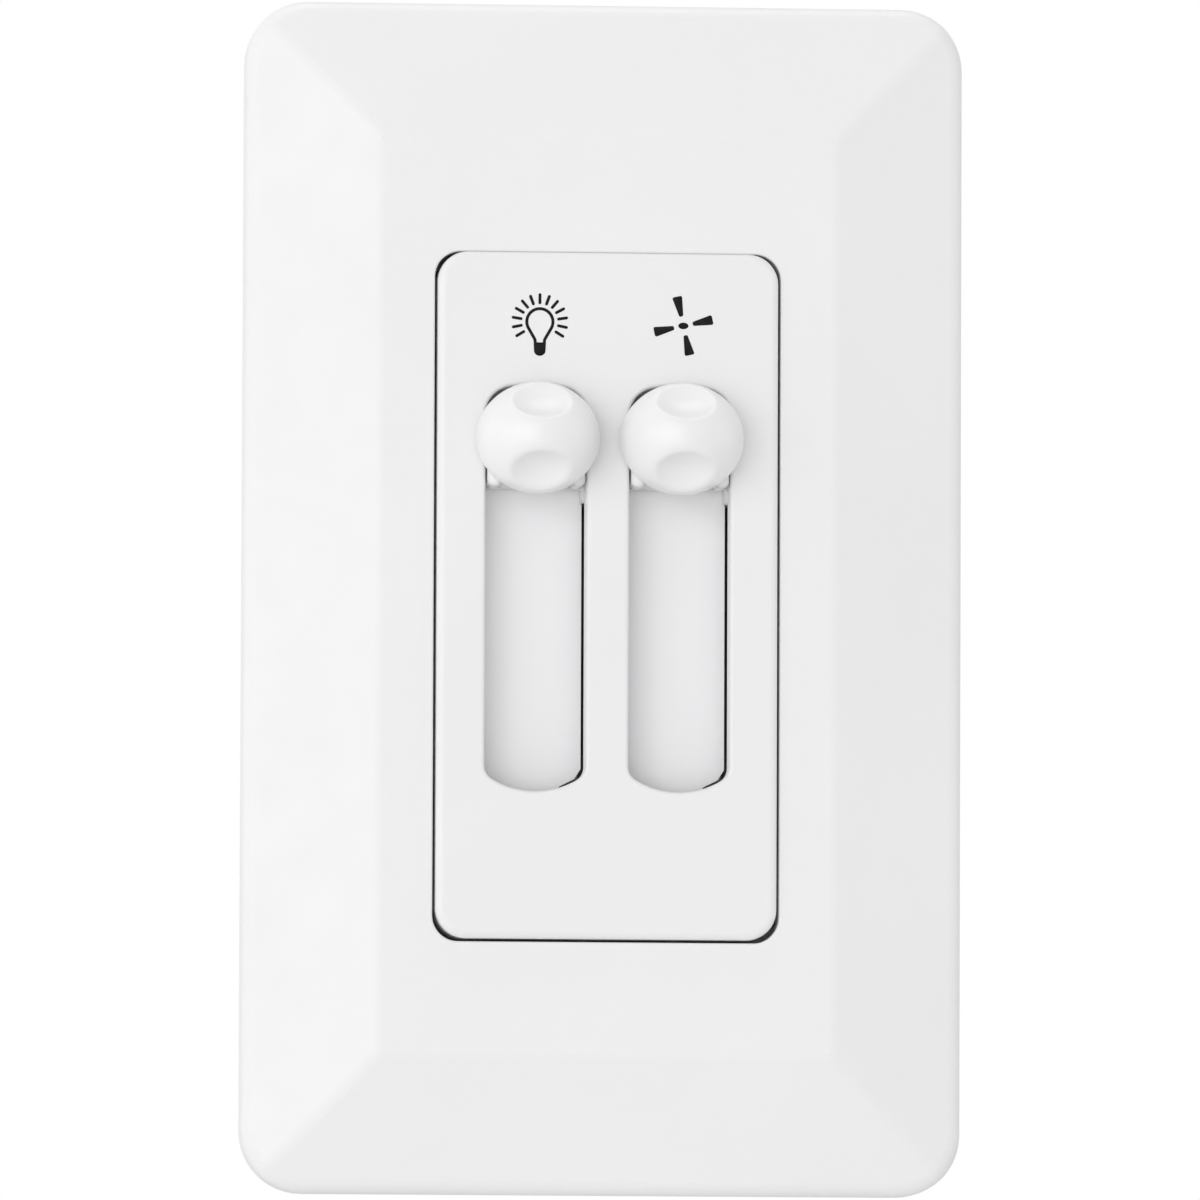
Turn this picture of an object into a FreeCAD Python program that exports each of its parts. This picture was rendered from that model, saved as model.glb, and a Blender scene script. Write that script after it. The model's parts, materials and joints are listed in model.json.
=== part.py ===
"""Wall control with two vertical slides: a lamp dimmer on the left and a fan speed switch on the right.

A sloped white cover clips over an adapter frame. Through its opening stands a white bezel with two tall
slots, and in each slot a ball knob with two finger scoops runs up and down. Each knob sits on a carriage
whose thin arm passes a slit beside the slot's floor and drives a slide in the housing behind the yoke.

X is to the right, Z is up and the front faces -Y. The wall plane is y = 0, and the origin is the middle of
the cover's back edge on that plane. All sizes are in millimetres.
"""

import FreeCAD, Part
import math
import os

V = FreeCAD.Vector

# Standard distance between the two screws of a single-gang wall box
box_screw_spacing = 83.34

# Cover
cover_width = 69.1
cover_end_reach = 15.48
cover_corner_radius = 6.0
cover_edge_height = 3.9
cover_wall = 1.9
cover_flat_side = 5.29
cover_flat_end = 11.07
slope_crease_radius = 3.0
cover_edge_round = 1.7
opening_gap_side = 0.26
opening_gap_top = 0.025
opening_gap_bottom = 0.27
opening_corner_radius = 2.45
opening_edge_round = 0.2
collar_wall = 1.2
collar_gap = 0.4
rib_thickness = 0.9
rib_gap = 0.25
rib_end_margin = 30.0
end_rib_offset = 9.0
hook_width = 7.0
hook_thickness = 1.2
hook_end_margin = 18.0
hook_gap = 0.2
hook_bite = 0.6
hook_barb_height = 0.7
hook_barb_gap = 0.1

# Adapter frame under the cover
adapter_setback_side = 6.05
adapter_setback_end = 4.15
adapter_thickness = 1.4
adapter_corner_radius = 5.0
adapter_opening_gap = 0.8
adapter_relief_length = 7.0
adapter_relief_depth = 4.0
adapter_relief_margin = 5.2

# Bezel with the two slots
bezel_end_margin = 3.625
bezel_corner_radius = 2.9
bezel_front_round = 0.7
bezel_proud = 0.8
bezel_face_thickness = 2.6
bezel_side_wall = 1.3
slot_width = 9.7
slot_web = 4.1
slot_margin_side = 4.6
slot_margin_top = 12.775
slot_margin_bottom = 14.075
slot_top_end_radius = 18.0
slot_top_corner_radius = 2.7
slot_bottom_end_radius = 7.9
slot_bottom_corner_radius = 1.5
slot_edge_round = 0.35

# Slide bed between the bezel and the yoke
bed_height = 2.4
bed_plate_thickness = 1.2
bed_skirt = 1.2
bed_side_gap = 0.2
bed_corner_radius = 1.4
channel_height = 1.8
slit_reveal = 0.1
slit_foot_lift = 0.7
slit_foot_reach = 2.05
slit_foot_rise = 1.7
slit_foot_bend_side = 0.6
slit_foot_bend_rise = 0.73

# Carriages
sliding_gap = 0.15
shoulder_side_gap = 0.17
shoulder_top = 3.6
shoulder_bottom = 4.55
shoulder_top_radius = 2.5
shoulder_foot_radius = 0.6
shoulder_arch_width = 7.0
shoulder_arch_height = 0.8
slide_top_allowance = 5.2
slide_bottom_allowance = 6.3
shoe_overlap = 0.65
shoe_side_gap = 0.2
arm_thickness = 1.3
arm_half_length = 5.85
arm_gap = 0.25
arm_tail_width = 0.3
arm_tip_recess = 0.2
fork_depth = 2.6
post_width = 3.2
post_height = 4.2
post_length = 3.2
post_clearance = 0.04

# Knobs
knob_half_width = 5.92
knob_radius = 5.37
knob_standoff = 1.8
knob_base_gap = 0.3
knob_base_round = 0.25
scoop_half_width = 5.5
scoop_radius = 4.4
scoop_depth = 1.4
scoop_angle = 45.0
scoop_rim_round = 0.35
oval_match = 0.02

# Mounting yoke
yoke_thickness = 1.2
yoke_overhang = 0.25
yoke_corner_radius = 2.5
ear_root_margin = 5.17
ear_neck_width = 22.0
ear_end_width = 34.0
ear_end_height = 8.0
ear_end_margin = 3.98
ear_notch_radius = 2.2
box_slot_width = 4.4
box_slot_length = 7.6
cover_screw_step = 6.75
tapped_collar_radius = 2.7
tapped_collar_height = 0.9
arm_slot_side_gap = 0.4
arm_slot_end_gap = 0.6
ground_tab_width = 8.0
ground_tab_depth = 9.5
ground_tab_offset = 15.5
ground_tab_bend = 0.84
ground_screw_reach = 5.15

# Screws
machine_screw_radius = 1.75
machine_neck_radius = 1.45
machine_head_radius = 3.4
box_head_height = 1.7
box_screw_length = 24.0
box_head_clearance = 0.9
adapter_screw_length = 9.0
countersink_height = 1.2
retainer_width = 10.0
retainer_height = 7.8
retainer_thickness = 0.35
retainer_corner_radius = 1.0
thread_relief = 0.1
thread_clearance = 0.05
driver_slot_width = 0.9
driver_slot_depth = 0.7
recess_length = 2.6
recess_width = 0.7
chamfer_length = 0.5
case_screw_radius = 1.1
case_screw_head_radius = 2.3
case_screw_head_height = 1.5
case_screw_grip = 4.0
case_screw_bite = 4.2
case_screw_clearance = 0.25
screw_end_gap = 0.3
boss_radius = 2.4
boss_inset_side = 3.3
boss_inset_end = 3.25

# Housing
housing_overhang = 5.4
housing_end_margin = 2.5
housing_depth = 32.0
housing_wall = 1.8
housing_corner_radius = 3.0
housing_back_round = 1.5
column_radius = 3.9
counterbore_radius = 2.6
ledge_width = 1.3
ledge_thickness = 1.6
ledge_end_margin = 11.7
terminal_pocket_size = 9.6
terminal_pocket_depth = 3.0
terminal_setback = 1.15
terminal_plate_size = 8.6
terminal_plate_thickness = 0.9
terminal_screw_radius = 1.9
terminal_screw_length = 3.6
terminal_head_radius = 3.5
terminal_head_height = 1.9
terminal_tail_width = 3.0
terminal_strip_gap = 0.2
terminal_end_margin = 11.2
terminal_spacing = 14.5
ground_head_radius = 3.5
ground_head_height = 2.0
ground_screw_end = 1.0

# Inside the housing
sheet_thickness = 0.3
sheet_gap = 0.25
sheet_corner_radius = 1.0
slide_case_width = 9.0
slide_case_end_room = 7.3
slide_case_height = 6.0
slide_case_wall = 0.5
slide_case_corner_radius = 0.6
slide_case_gap = 0.25
slide_contact_radius = 0.45
slide_contact_length = 0.8
slide_contact_inset = 1.4
slide_contact_end_margin = 3.0
dimmer_contacts = 3
fan_contacts = 5
slide_base_thickness = 1.2
slide_block_length = 7.0
slide_block_height = 2.8
slide_block_gap = 0.2
lever_width = 4.0
lever_thickness = 1.2
lever_gap = 0.06
board_thickness = 1.6
board_gap = 0.25
board_corner_radius = 0.8
large_capacitor_depth = 15.0
large_capacitor_side_gap = 1.65
large_capacitor_top_gap = 3.2
capacitor_spacing = 4.5
small_capacitor_height = 13.0
small_capacitor_depth = 12.0
small_capacitor_side_gap = 0.85
small_capacitor_bottom_gap = 0.75
noise_capacitor_width = 13.0
noise_capacitor_height = 7.0
noise_capacitor_depth = 11.0
capacitor_round = 0.6
column_spacing = 1.0
column_side_gap = 0.45
choke_top_gap = 1.4
choke_core_radius = 5.7
choke_hole_radius = 2.9
choke_core_height = 6.0
choke_wire = 0.7
choke_turns = 12
choke_sweep = 300.0
choke_start = 30.0
choke_wire_gap = 0.05
triac_z = -2.0
triac_width = 10.0
triac_body_length = 9.0
triac_body_thickness = 4.4
triac_tab_length = 6.4
triac_tab_thickness = 1.2
triac_leg_width = 0.8
triac_leg_thickness = 0.4
triac_leg_length = 4.0
triac_leg_pitch = 2.54
sink_hole_reach = 3.52
sink_screw_radius = 1.45
sink_screw_head_radius = 2.7
sink_screw_head_height = 1.8
resistor_radius = 1.1
resistor_length = 6.4
resistor_leg_radius = 0.3
lead_bend_radius = 0.7
lead_bend_share = 0.9
lead_reach = 0.6
resistor_rows = 3
resistor_pitch = 3.6
resistor_step = 3.2
diac_radius = 0.8
diac_length = 3.6
diac_bottom_gap = 1.15

# How far a cut runs past the face it opens, and the distances at which things count as one
cut_past = 1.0
same_place = 1e-4
near_outline = 0.01

# Sizes that follow from the screw spacing, the cover's width and the slots
cover_height = box_screw_spacing + 2 * cover_end_reach
cover_screw_spacing = box_screw_spacing + 2 * cover_screw_step
yoke_length = cover_screw_spacing + 2 * ear_end_margin
yoke_body_height = box_screw_spacing - 2 * ear_root_margin
bezel_height = yoke_body_height - 2 * bezel_end_margin
housing_height = yoke_body_height - 2 * housing_end_margin
slot_pitch = slot_width + slot_web
bezel_width = slot_pitch + slot_width + 2 * slot_margin_side
housing_width = bezel_width + 2 * housing_overhang
yoke_body_width = housing_width + 2 * yoke_overhang
opening_width = bezel_width + 2 * opening_gap_side
opening_height = bezel_height + opening_gap_top + opening_gap_bottom
opening_middle = (opening_gap_top - opening_gap_bottom) / 2
slope_width_side = (cover_width - opening_width) / 2 - cover_flat_side
slope_width_end = (cover_height - opening_height) / 2 - cover_flat_end
adapter_width = cover_width - 2 * adapter_setback_side
adapter_height = cover_height - 2 * adapter_setback_end
side_rib_spacing = adapter_height / 2 - rib_end_margin
hook_spacing = adapter_height / 2 - hook_end_margin
relief_outer = adapter_height / 2 - adapter_relief_margin
slot_length = bezel_height - slot_margin_top - slot_margin_bottom
slot_height_offset = (slot_margin_bottom - slot_margin_top) / 2

# Levels along Y, from the wall plane towards the front
wall_plane = 0.0
yoke_front = wall_plane - yoke_thickness
adapter_front = yoke_front - adapter_thickness
bed_floor = yoke_front - bed_height
bezel_back = bed_floor - channel_height
bezel_front = bezel_back - bezel_face_thickness
cover_front = bezel_front + bezel_proud
cover_edge = wall_plane - cover_edge_height
knob_back = bezel_front - knob_base_gap
knob_centre = bezel_front - knob_standoff
arm_tip = wall_plane - arm_tip_recess

# Levels behind the wall plane
slide_case_front = wall_plane + sheet_thickness + slide_case_gap
board_front = slide_case_front + slide_case_height + slide_base_thickness
board_back = board_front + board_thickness
terminal_block_front = board_front + terminal_setback
terminal_depth = terminal_block_front + housing_wall + terminal_pocket_size / 2
housing_back = wall_plane + housing_depth
housing_inner_back = housing_back - housing_wall

# Places across the front
slot_half_width = slot_width / 2
slot_half_length = slot_length / 2
slot_top = slot_height_offset + slot_half_length
slide_travel = slot_length - slide_top_allowance - slide_bottom_allowance
knob_height = slot_top - slide_top_allowance
travel_middle = knob_height - slide_travel / 2
dimmer_x = -slot_pitch / 2
fan_x = slot_pitch / 2
arm_inner = slot_half_width + arm_gap
arm_outer = arm_inner + arm_thickness
arm_middle = (arm_inner + arm_outer) / 2
slit_outer = arm_outer + arm_gap
shoe_left = slot_half_width + shoe_overlap
boss_x = bezel_width / 2 - boss_inset_side
boss_z = bezel_height / 2 - boss_inset_end
inner_half_width = housing_width / 2 - housing_wall
inner_half_height = housing_height / 2 - housing_wall
corners = [(sx, sz) for sx in (-1, 1) for sz in (-1, 1)]
ground_x = -ground_tab_offset
ground_y = ground_screw_reach

# Places inside the housing: capacitors on the left, the smaller pieces in a column on the right
slide_case_length = slide_travel + 2 * slide_case_end_room
ledge_offset = inner_half_height - ledge_end_margin
terminal_low = terminal_end_margin - inner_half_height
terminal_high = terminal_low + terminal_spacing
terminal_floor = housing_width / 2 - terminal_pocket_depth
terminal_block_inner = terminal_floor - terminal_screw_length - housing_wall / 2
terminal_strip_outer = terminal_block_inner - terminal_strip_gap
terminal_strip_inner = terminal_strip_outer - terminal_plate_thickness
room_end = boss_z - column_radius
column_right = terminal_strip_inner - column_side_gap
column_left = column_right - noise_capacitor_width
lead_run = resistor_length / 2 + lead_reach + lead_bend_radius
column_x = column_right - lead_run
small_capacitor_left = small_capacitor_side_gap - terminal_strip_inner
small_capacitor_width = column_x - lead_run - column_spacing - small_capacitor_left
small_capacitor_x = small_capacitor_left + small_capacitor_width / 2
small_capacitor_z = small_capacitor_bottom_gap + small_capacitor_height / 2 - room_end
large_capacitor_left = large_capacitor_side_gap - inner_half_width
large_capacitor_width = column_left - column_spacing - large_capacitor_left
large_capacitor_x = large_capacitor_left + large_capacitor_width / 2
large_capacitor_top = room_end - large_capacitor_top_gap
large_capacitor_bottom = small_capacitor_z + small_capacitor_height / 2 + capacitor_spacing
large_capacitor_height = large_capacitor_top - large_capacitor_bottom
large_capacitor_z = (large_capacitor_top + large_capacitor_bottom) / 2
choke_half = choke_core_radius + choke_wire_gap + choke_wire
choke_x = column_right - choke_half
choke_z = room_end - choke_top_gap - choke_half
diac_z = diac_bottom_gap - room_end
resistor_low = diac_z + resistor_step
resistor_high = resistor_low + (resistor_rows - 1) * resistor_pitch
noise_capacitor_x = (column_left + column_right) / 2
noise_capacitor_z = (choke_z - choke_half + resistor_high + resistor_radius) / 2
triac_x = (dimmer_x + arm_middle - slide_case_width / 2 - inner_half_width) / 2
sink_screw_z = triac_z + triac_body_length / 2 + sink_hole_reach
parts = {}


def rounded_rectangle(width, height, radius, cx=0.0, cz=0.0):
    """Closed wire of a rectangle with round corners, in the plane y = 0."""
    w, h, r = width / 2, height / 2, radius
    if r <= 0:
        points = [V(cx - w, 0, cz - h), V(cx + w, 0, cz - h), V(cx + w, 0, cz + h), V(cx - w, 0, cz + h)]
        return Part.makePolygon(points + points[:1])
    diagonal = r * (1 - math.sqrt(0.5))
    edges = []
    for sx, sz, turn in ((1, -1, 0), (1, 1, 1), (-1, 1, 2), (-1, -1, 3)):
        x, z = cx + sx * w, cz + sz * h
        along_x, along_z = V(x - sx * r, 0, z), V(x, 0, z - sz * r)
        middle = V(x - sx * diagonal, 0, z - sz * diagonal)
        first, last = (along_x, along_z) if turn % 2 == 0 else (along_z, along_x)
        edges.append((first, middle, last))
    pieces = []
    for i, (first, middle, last) in enumerate(edges):
        pieces.append(Part.Arc(first, middle, last).toShape())
        following = edges[(i + 1) % 4][0]
        if last.distanceToPoint(following) > same_place:
            pieces.append(Part.makeLine(last, following))
    return Part.Wire(pieces)


def slot_end(half_width, half_length, end_radius, corner_radius):
    """Points of one half of a slot's bowed end: where its side stops, its corner arc's middle, the join, the crown."""
    arc_centre = half_length - end_radius
    corner_x = half_width - corner_radius
    corner_z = arc_centre + math.sqrt((end_radius - corner_radius) ** 2 - corner_x**2)
    reach = end_radius / (end_radius - corner_radius)
    join = (corner_x * reach, arc_centre + (corner_z - arc_centre) * reach)
    turn = math.atan2(corner_z - arc_centre, corner_x) / 2
    middle = (corner_x + corner_radius * math.cos(turn), corner_z + corner_radius * math.sin(turn))
    return (half_width, corner_z), middle, join, (0, half_length)


def slot_outline(cx):
    """Closed wire of a tall slot: straight sides, bowed ends and small corner arcs, in the plane y = 0."""
    top = slot_end(slot_half_width, slot_half_length, slot_top_end_radius, slot_top_corner_radius)
    bottom = slot_end(slot_half_width, slot_half_length, slot_bottom_end_radius, slot_bottom_corner_radius)

    def at(point, sx, sz):
        return V(cx + sx * point[0], 0, slot_height_offset + sz * point[1])

    pieces = []
    for s, near, far in ((1, top, bottom), (-1, bottom, top)):
        side, middle, join, crown = near
        pieces += [
            Part.makeLine(at(far[0], s, -s), at(side, s, s)),
            Part.Arc(at(side, s, s), at(middle, s, s), at(join, s, s)).toShape(),
            Part.Arc(at(join, s, s), at(crown, s, s), at(join, -s, s)).toShape(),
            Part.Arc(at(join, -s, s), at(middle, -s, s), at(side, -s, s)).toShape(),
        ]
    return Part.Wire(pieces)


def prism(wire, y0, y1):
    """Solid between two levels along Y, from a closed wire in the plane y = 0."""
    low, high = min(y0, y1), max(y0, y1)
    face = Part.Face(wire)
    face.translate(V(0, low, 0))
    return face.extrude(V(0, high - low, 0))


def block(x0, x1, y0, y1, z0, z1):
    low = V(min(x0, x1), min(y0, y1), min(z0, z1))
    return Part.makeBox(abs(x1 - x0), abs(y1 - y0), abs(z1 - z0), low)


def rod(radius, x, z, y0, y1):
    """Round bar along Y between two levels."""
    low = min(y0, y1)
    return Part.makeCylinder(radius, abs(y1 - y0), V(x, low, z), V(0, 1, 0))


def bar(radius, x0, x1, y, z):
    """Round bar along X."""
    low = min(x0, x1)
    return Part.makeCylinder(radius, abs(x1 - x0), V(low, y, z), V(1, 0, 0))


def pin(radius, x, y, z0, length):
    """Round bar along Z, upwards from a height."""
    return Part.makeCylinder(radius, length, V(x, y, z0), V(0, 0, 1))


def level_edges(shape, y, inside=None):
    """Edges that lie wholly at one level along Y, and within a test of their middle if one is given."""
    found = []
    for edge in shape.Edges:
        box = edge.BoundBox
        if abs(box.YMin - y) < same_place and abs(box.YMax - y) < same_place:
            middle = box.Center
            if inside is None or inside(middle):
                found.append(edge)
    return found


def fuse_all(shapes):
    first, rest = shapes[0], shapes[1:]
    return (first.multiFuse(rest) if rest else first).removeSplitter()


def egg_ball(half_width, radius, centre):
    """Ball stretched along X: an oval of three tangent arcs turned about its long axis."""
    end_radius = radius**2 / half_width
    end_centre = half_width - end_radius
    spare = radius - end_radius
    if abs(spare) < same_place:
        return Part.makeSphere(radius, centre)
    side_centre = (end_centre**2 - spare**2) / (2 * spare)
    lean = math.atan2(abs(side_centre), abs(end_centre))
    join = V(end_centre + end_radius * math.cos(lean), end_radius * math.sin(lean), 0)
    middle = V(end_centre + end_radius * math.cos(lean / 2), end_radius * math.sin(lean / 2), 0)
    end, top = V(half_width, 0, 0), V(0, radius, 0)

    def mirrored(point):
        return V(-point.x, point.y, 0)

    outline = [
        Part.Arc(end, middle, join).toShape(),
        Part.Arc(join, top, mirrored(join)).toShape(),
        Part.Arc(mirrored(join), mirrored(middle), mirrored(end)).toShape(),
        Part.makeLine(mirrored(end), end),
    ]
    solid = Part.Face(Part.Wire(outline)).revolve(V(0, 0, 0), V(1, 0, 0), 360)
    solid.translate(centre)
    return solid


def single(shape):
    """The one solid that a finished piece is made of."""
    solids = shape.Solids
    return solids[0] if len(solids) == 1 else Part.makeCompound(solids)


def slope_body(width, height, side, end, edge_level, front_level, crease):
    """Low pyramid with a flat front and four mitred slopes, its creases rounded."""

    def rectangle(w, h, y):
        corner = [V(-w / 2, y, -h / 2), V(w / 2, y, -h / 2), V(w / 2, y, h / 2), V(-w / 2, y, h / 2)]
        return Part.makePolygon(corner + corner[:1])

    base = rectangle(width, height, edge_level)
    top = rectangle(width - 2 * side, height - 2 * end, front_level)
    body = Part.makeLoft([base, top], True, True)
    creases = [e for e in body.Edges if e.BoundBox.YMin < front_level + same_place]
    if crease > 0:
        body = body.makeFillet(crease, creases)
    return body


def cover_envelope(inset, setback):
    """Outer form of the cover, or its hollow when inset by the wall."""
    width, height = cover_width - 2 * inset, cover_height - 2 * inset
    outline = rounded_rectangle(width, height, cover_corner_radius - inset)
    column = prism(outline, cover_front + setback, wall_plane)
    slopes = slope_body(
        cover_width,
        cover_height,
        slope_width_side,
        slope_width_end,
        cover_edge,
        cover_front,
        slope_crease_radius,
    )
    below = block(
        -cover_width / 2, cover_width / 2, cover_edge, wall_plane, -cover_height / 2, cover_height / 2
    )
    form = slopes.fuse(below).removeSplitter()
    form.translate(V(0, setback, 0))
    return column.common(form)


def slope_level(x, z):
    """Level of the cover's front face at a place across it."""
    flat_x = cover_width / 2 - slope_width_side
    flat_z = cover_height / 2 - slope_width_end
    share = max((abs(x) - flat_x) / slope_width_side, (abs(z) - flat_z) / slope_width_end, 0.0)
    return cover_front + share * (cover_edge - cover_front)


def cover_hook(side, z):
    """Springy finger that grips the adapter's edge, with its barb behind it."""
    inner = adapter_width / 2 + hook_gap
    outer = inner + hook_thickness
    root = slope_level(outer, z) + cover_wall / 2
    barb_front = yoke_front + hook_barb_gap
    tip = barb_front + hook_barb_height
    finger = block(side * inner, side * outer, root, tip, z - hook_width / 2, z + hook_width / 2)
    nose = inner - hook_gap - hook_bite
    profile = [
        V(side * inner, barb_front, z - hook_width / 2),
        V(side * nose, barb_front, z - hook_width / 2),
        V(side * inner, tip, z - hook_width / 2),
    ]
    barb = Part.Face(Part.makePolygon(profile + profile[:1])).extrude(V(0, 0, hook_width))
    return finger.fuse(barb)


def cover_plate():
    body = cover_envelope(0.0, 0.0)
    rim = [e for e in body.Edges if e.BoundBox.YMax < wall_plane - same_place and lies_on_wall(e)]
    body = body.makeFillet(cover_edge_round, rim)
    body = body.cut(cover_envelope(cover_wall, cover_wall))
    collar_back = adapter_front - collar_gap
    collar_outline = rounded_rectangle(
        opening_width + 2 * collar_wall,
        opening_height + 2 * collar_wall,
        opening_corner_radius + collar_wall,
        0.0,
        opening_middle,
    )
    pieces = [body, prism(collar_outline, cover_front + cover_wall / 2, collar_back)]
    rib_limit = cover_envelope(cover_wall / 2, cover_wall / 2)
    rib_back = adapter_front - rib_gap
    rib_inner = opening_width / 2 + collar_wall / 2
    rib_outer = adapter_width / 2 - rib_thickness
    for side in (-1, 1):
        for z in (-side_rib_spacing, 0.0, side_rib_spacing):
            low, high = z - rib_thickness / 2, z + rib_thickness / 2
            rib = block(side * rib_inner, side * rib_outer, cover_front, rib_back, low, high)
            pieces.append(rib.common(rib_limit))
        for z in (-hook_spacing, 0.0, hook_spacing):
            pieces.append(cover_hook(side, z))
    end_inner = opening_height / 2 + collar_wall / 2
    end_outer = adapter_height / 2 - rib_thickness
    for sx, sz in corners:
        left, right = sx * end_rib_offset - rib_thickness / 2, sx * end_rib_offset + rib_thickness / 2
        rib = block(left, right, cover_front, rib_back, sz * end_inner, sz * end_outer)
        pieces.append(rib.common(rib_limit))
    body = fuse_all(pieces)
    opening = rounded_rectangle(opening_width, opening_height, opening_corner_radius, 0.0, opening_middle)
    body = body.cut(prism(opening, cover_front - cut_past, wall_plane))
    lip = level_edges(body, cover_front, in_opening)
    return body.makeFillet(opening_edge_round, lip)


def in_opening(point):
    """True for a place within the cover's opening or on its edge."""
    across, up = abs(point.x) - opening_width / 2, abs(point.z - opening_middle) - opening_height / 2
    return across < near_outline and up < near_outline


def lies_on_wall(edge):
    """True for an edge of the cover's outer side face, straight or round a corner."""
    start, end = edge.Vertexes[0].Point, edge.Vertexes[-1].Point
    middle = edge.valueAt(sum(edge.ParameterRange) / 2)
    return all(outline_distance(p) < near_outline for p in (start, end, middle))


def outline_distance(point):
    """Distance of a point from the cover's rounded outline, seen from the front."""
    straight_x = cover_width / 2 - cover_corner_radius
    straight_z = cover_height / 2 - cover_corner_radius
    dx, dz = abs(point.x) - straight_x, abs(point.z) - straight_z
    if dx > 0 and dz > 0:
        return abs(math.hypot(dx, dz) - cover_corner_radius)
    return min(abs(dx - cover_corner_radius), abs(dz - cover_corner_radius))


def adapter_frame():
    body = prism(
        rounded_rectangle(adapter_width, adapter_height, adapter_corner_radius), adapter_front, yoke_front
    )
    opening = rounded_rectangle(
        bezel_width + 2 * adapter_opening_gap, bezel_height + 2 * adapter_opening_gap, bezel_corner_radius
    )
    body = body.cut(prism(opening, adapter_front, yoke_front))
    for sx, sz in corners:
        inner, outer = sx * (adapter_width / 2 - adapter_relief_depth), sx * (adapter_width / 2 + cut_past)
        low, high = sz * (relief_outer - adapter_relief_length), sz * relief_outer
        body = body.cut(block(inner, outer, adapter_front, yoke_front, low, high))
    for sz in (-1, 1):
        head_hole = machine_head_radius + box_head_clearance
        body = body.cut(rod(head_hole, 0, sz * box_screw_spacing / 2, adapter_front, yoke_front))
        body = body.cut(countersunk(sz * cover_screw_spacing / 2, thread_clearance, 0.0))
    return single(body.removeSplitter())


def countersunk(z, clearance, below):
    """Form of a countersunk screw head and the shank's first stretch, flush with the adapter's front."""
    head = Part.makeCone(
        machine_head_radius + clearance,
        machine_screw_radius + clearance,
        countersink_height,
        V(0, adapter_front, z),
        V(0, 1, 0),
    )
    return head.fuse(rod(machine_screw_radius + clearance, 0, z, adapter_front, yoke_front + below))


def adapter_screws():
    screws = []
    for sz in (-1, 1):
        z = sz * cover_screw_spacing / 2
        tip = adapter_front + adapter_screw_length
        shank = rod(machine_screw_radius, 0, z, adapter_front, tip - chamfer_length)
        screw = fuse_all([countersunk(z, 0.0, 0.0), shank, screw_point(z, tip)])
        screws.append(screw.cut(driver_slot(z, adapter_front)))
    return Part.makeCompound(screws)


def screw_point(z, tip):
    """Tapered end of a machine screw."""
    end_radius = machine_screw_radius - chamfer_length
    return Part.makeCone(
        machine_screw_radius, end_radius, chamfer_length, V(0, tip - chamfer_length, z), V(0, 1, 0)
    )


def driver_slot(z, front):
    """Straight driver slot across a screw head whose face is at a level."""
    half = machine_head_radius + cut_past
    low, high = z - driver_slot_width / 2, z + driver_slot_width / 2
    return block(-half, half, front, front + driver_slot_depth, low, high)


def box_screws():
    """Screws that hold the yoke to the wall box, ready in its ears."""
    screws = []
    thread_start = wall_plane + retainer_thickness + thread_relief
    for sz in (-1, 1):
        z = sz * box_screw_spacing / 2
        front = yoke_front - box_head_height
        tip = yoke_front + box_screw_length
        head = rod(machine_head_radius, 0, z, front, yoke_front)
        head = head.makeFillet(box_head_height / 2, level_edges(head, front))
        neck = rod(machine_neck_radius, 0, z, yoke_front, thread_start)
        thread = rod(machine_screw_radius, 0, z, thread_start, tip - chamfer_length)
        screws.append(fuse_all([head, neck, thread, screw_point(z, tip)]).cut(driver_slot(z, front)))
    return Part.makeCompound(screws)


def screw_retainers():
    """Thin fibre pieces that keep the box screws in the ears."""
    squares = []
    for sz in (-1, 1):
        z = sz * box_screw_spacing / 2
        outline = rounded_rectangle(retainer_width, retainer_height, retainer_corner_radius, 0, z)
        back = wall_plane + retainer_thickness
        hole = rod(machine_neck_radius + thread_clearance, 0, z, wall_plane, back)
        squares.append(prism(outline, wall_plane, back).cut(hole))
    return Part.makeCompound(squares)


def control_bezel():
    outline = rounded_rectangle(bezel_width, bezel_height, bezel_corner_radius)
    body = prism(outline, bezel_front, yoke_front)
    body = body.makeFillet(bezel_front_round, level_edges(body, bezel_front))
    hollow = rounded_rectangle(
        bezel_width - 2 * bezel_side_wall,
        bezel_height - 2 * bezel_side_wall,
        bezel_corner_radius - bezel_side_wall,
    )
    hollow_form = prism(hollow, bezel_back, yoke_front)
    bosses = [rod(boss_radius, sx * boss_x, sz * boss_z, bezel_back, yoke_front) for sx, sz in corners]
    body = body.cut(hollow_form.cut(Part.makeCompound(bosses)))
    pilot_radius = case_screw_radius + thread_clearance
    pilot_end = yoke_front - case_screw_bite - screw_end_gap
    for sx, sz in corners:
        body = body.cut(rod(pilot_radius, sx * boss_x, sz * boss_z, pilot_end, yoke_front))
    for x in (dimmer_x, fan_x):
        body = body.cut(prism(slot_outline(x), bezel_front - cut_past, bezel_back))
    lips = level_edges(body, bezel_front, in_slot)
    return single(body.makeFillet(slot_edge_round, lips))


def in_slot(point):
    """True for a place within one of the two slots or on its edge."""
    across = abs(abs(point.x) - fan_x) - slot_half_width
    up = abs(point.z - slot_height_offset) - slot_half_length
    return across < near_outline and up < near_outline


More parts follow.
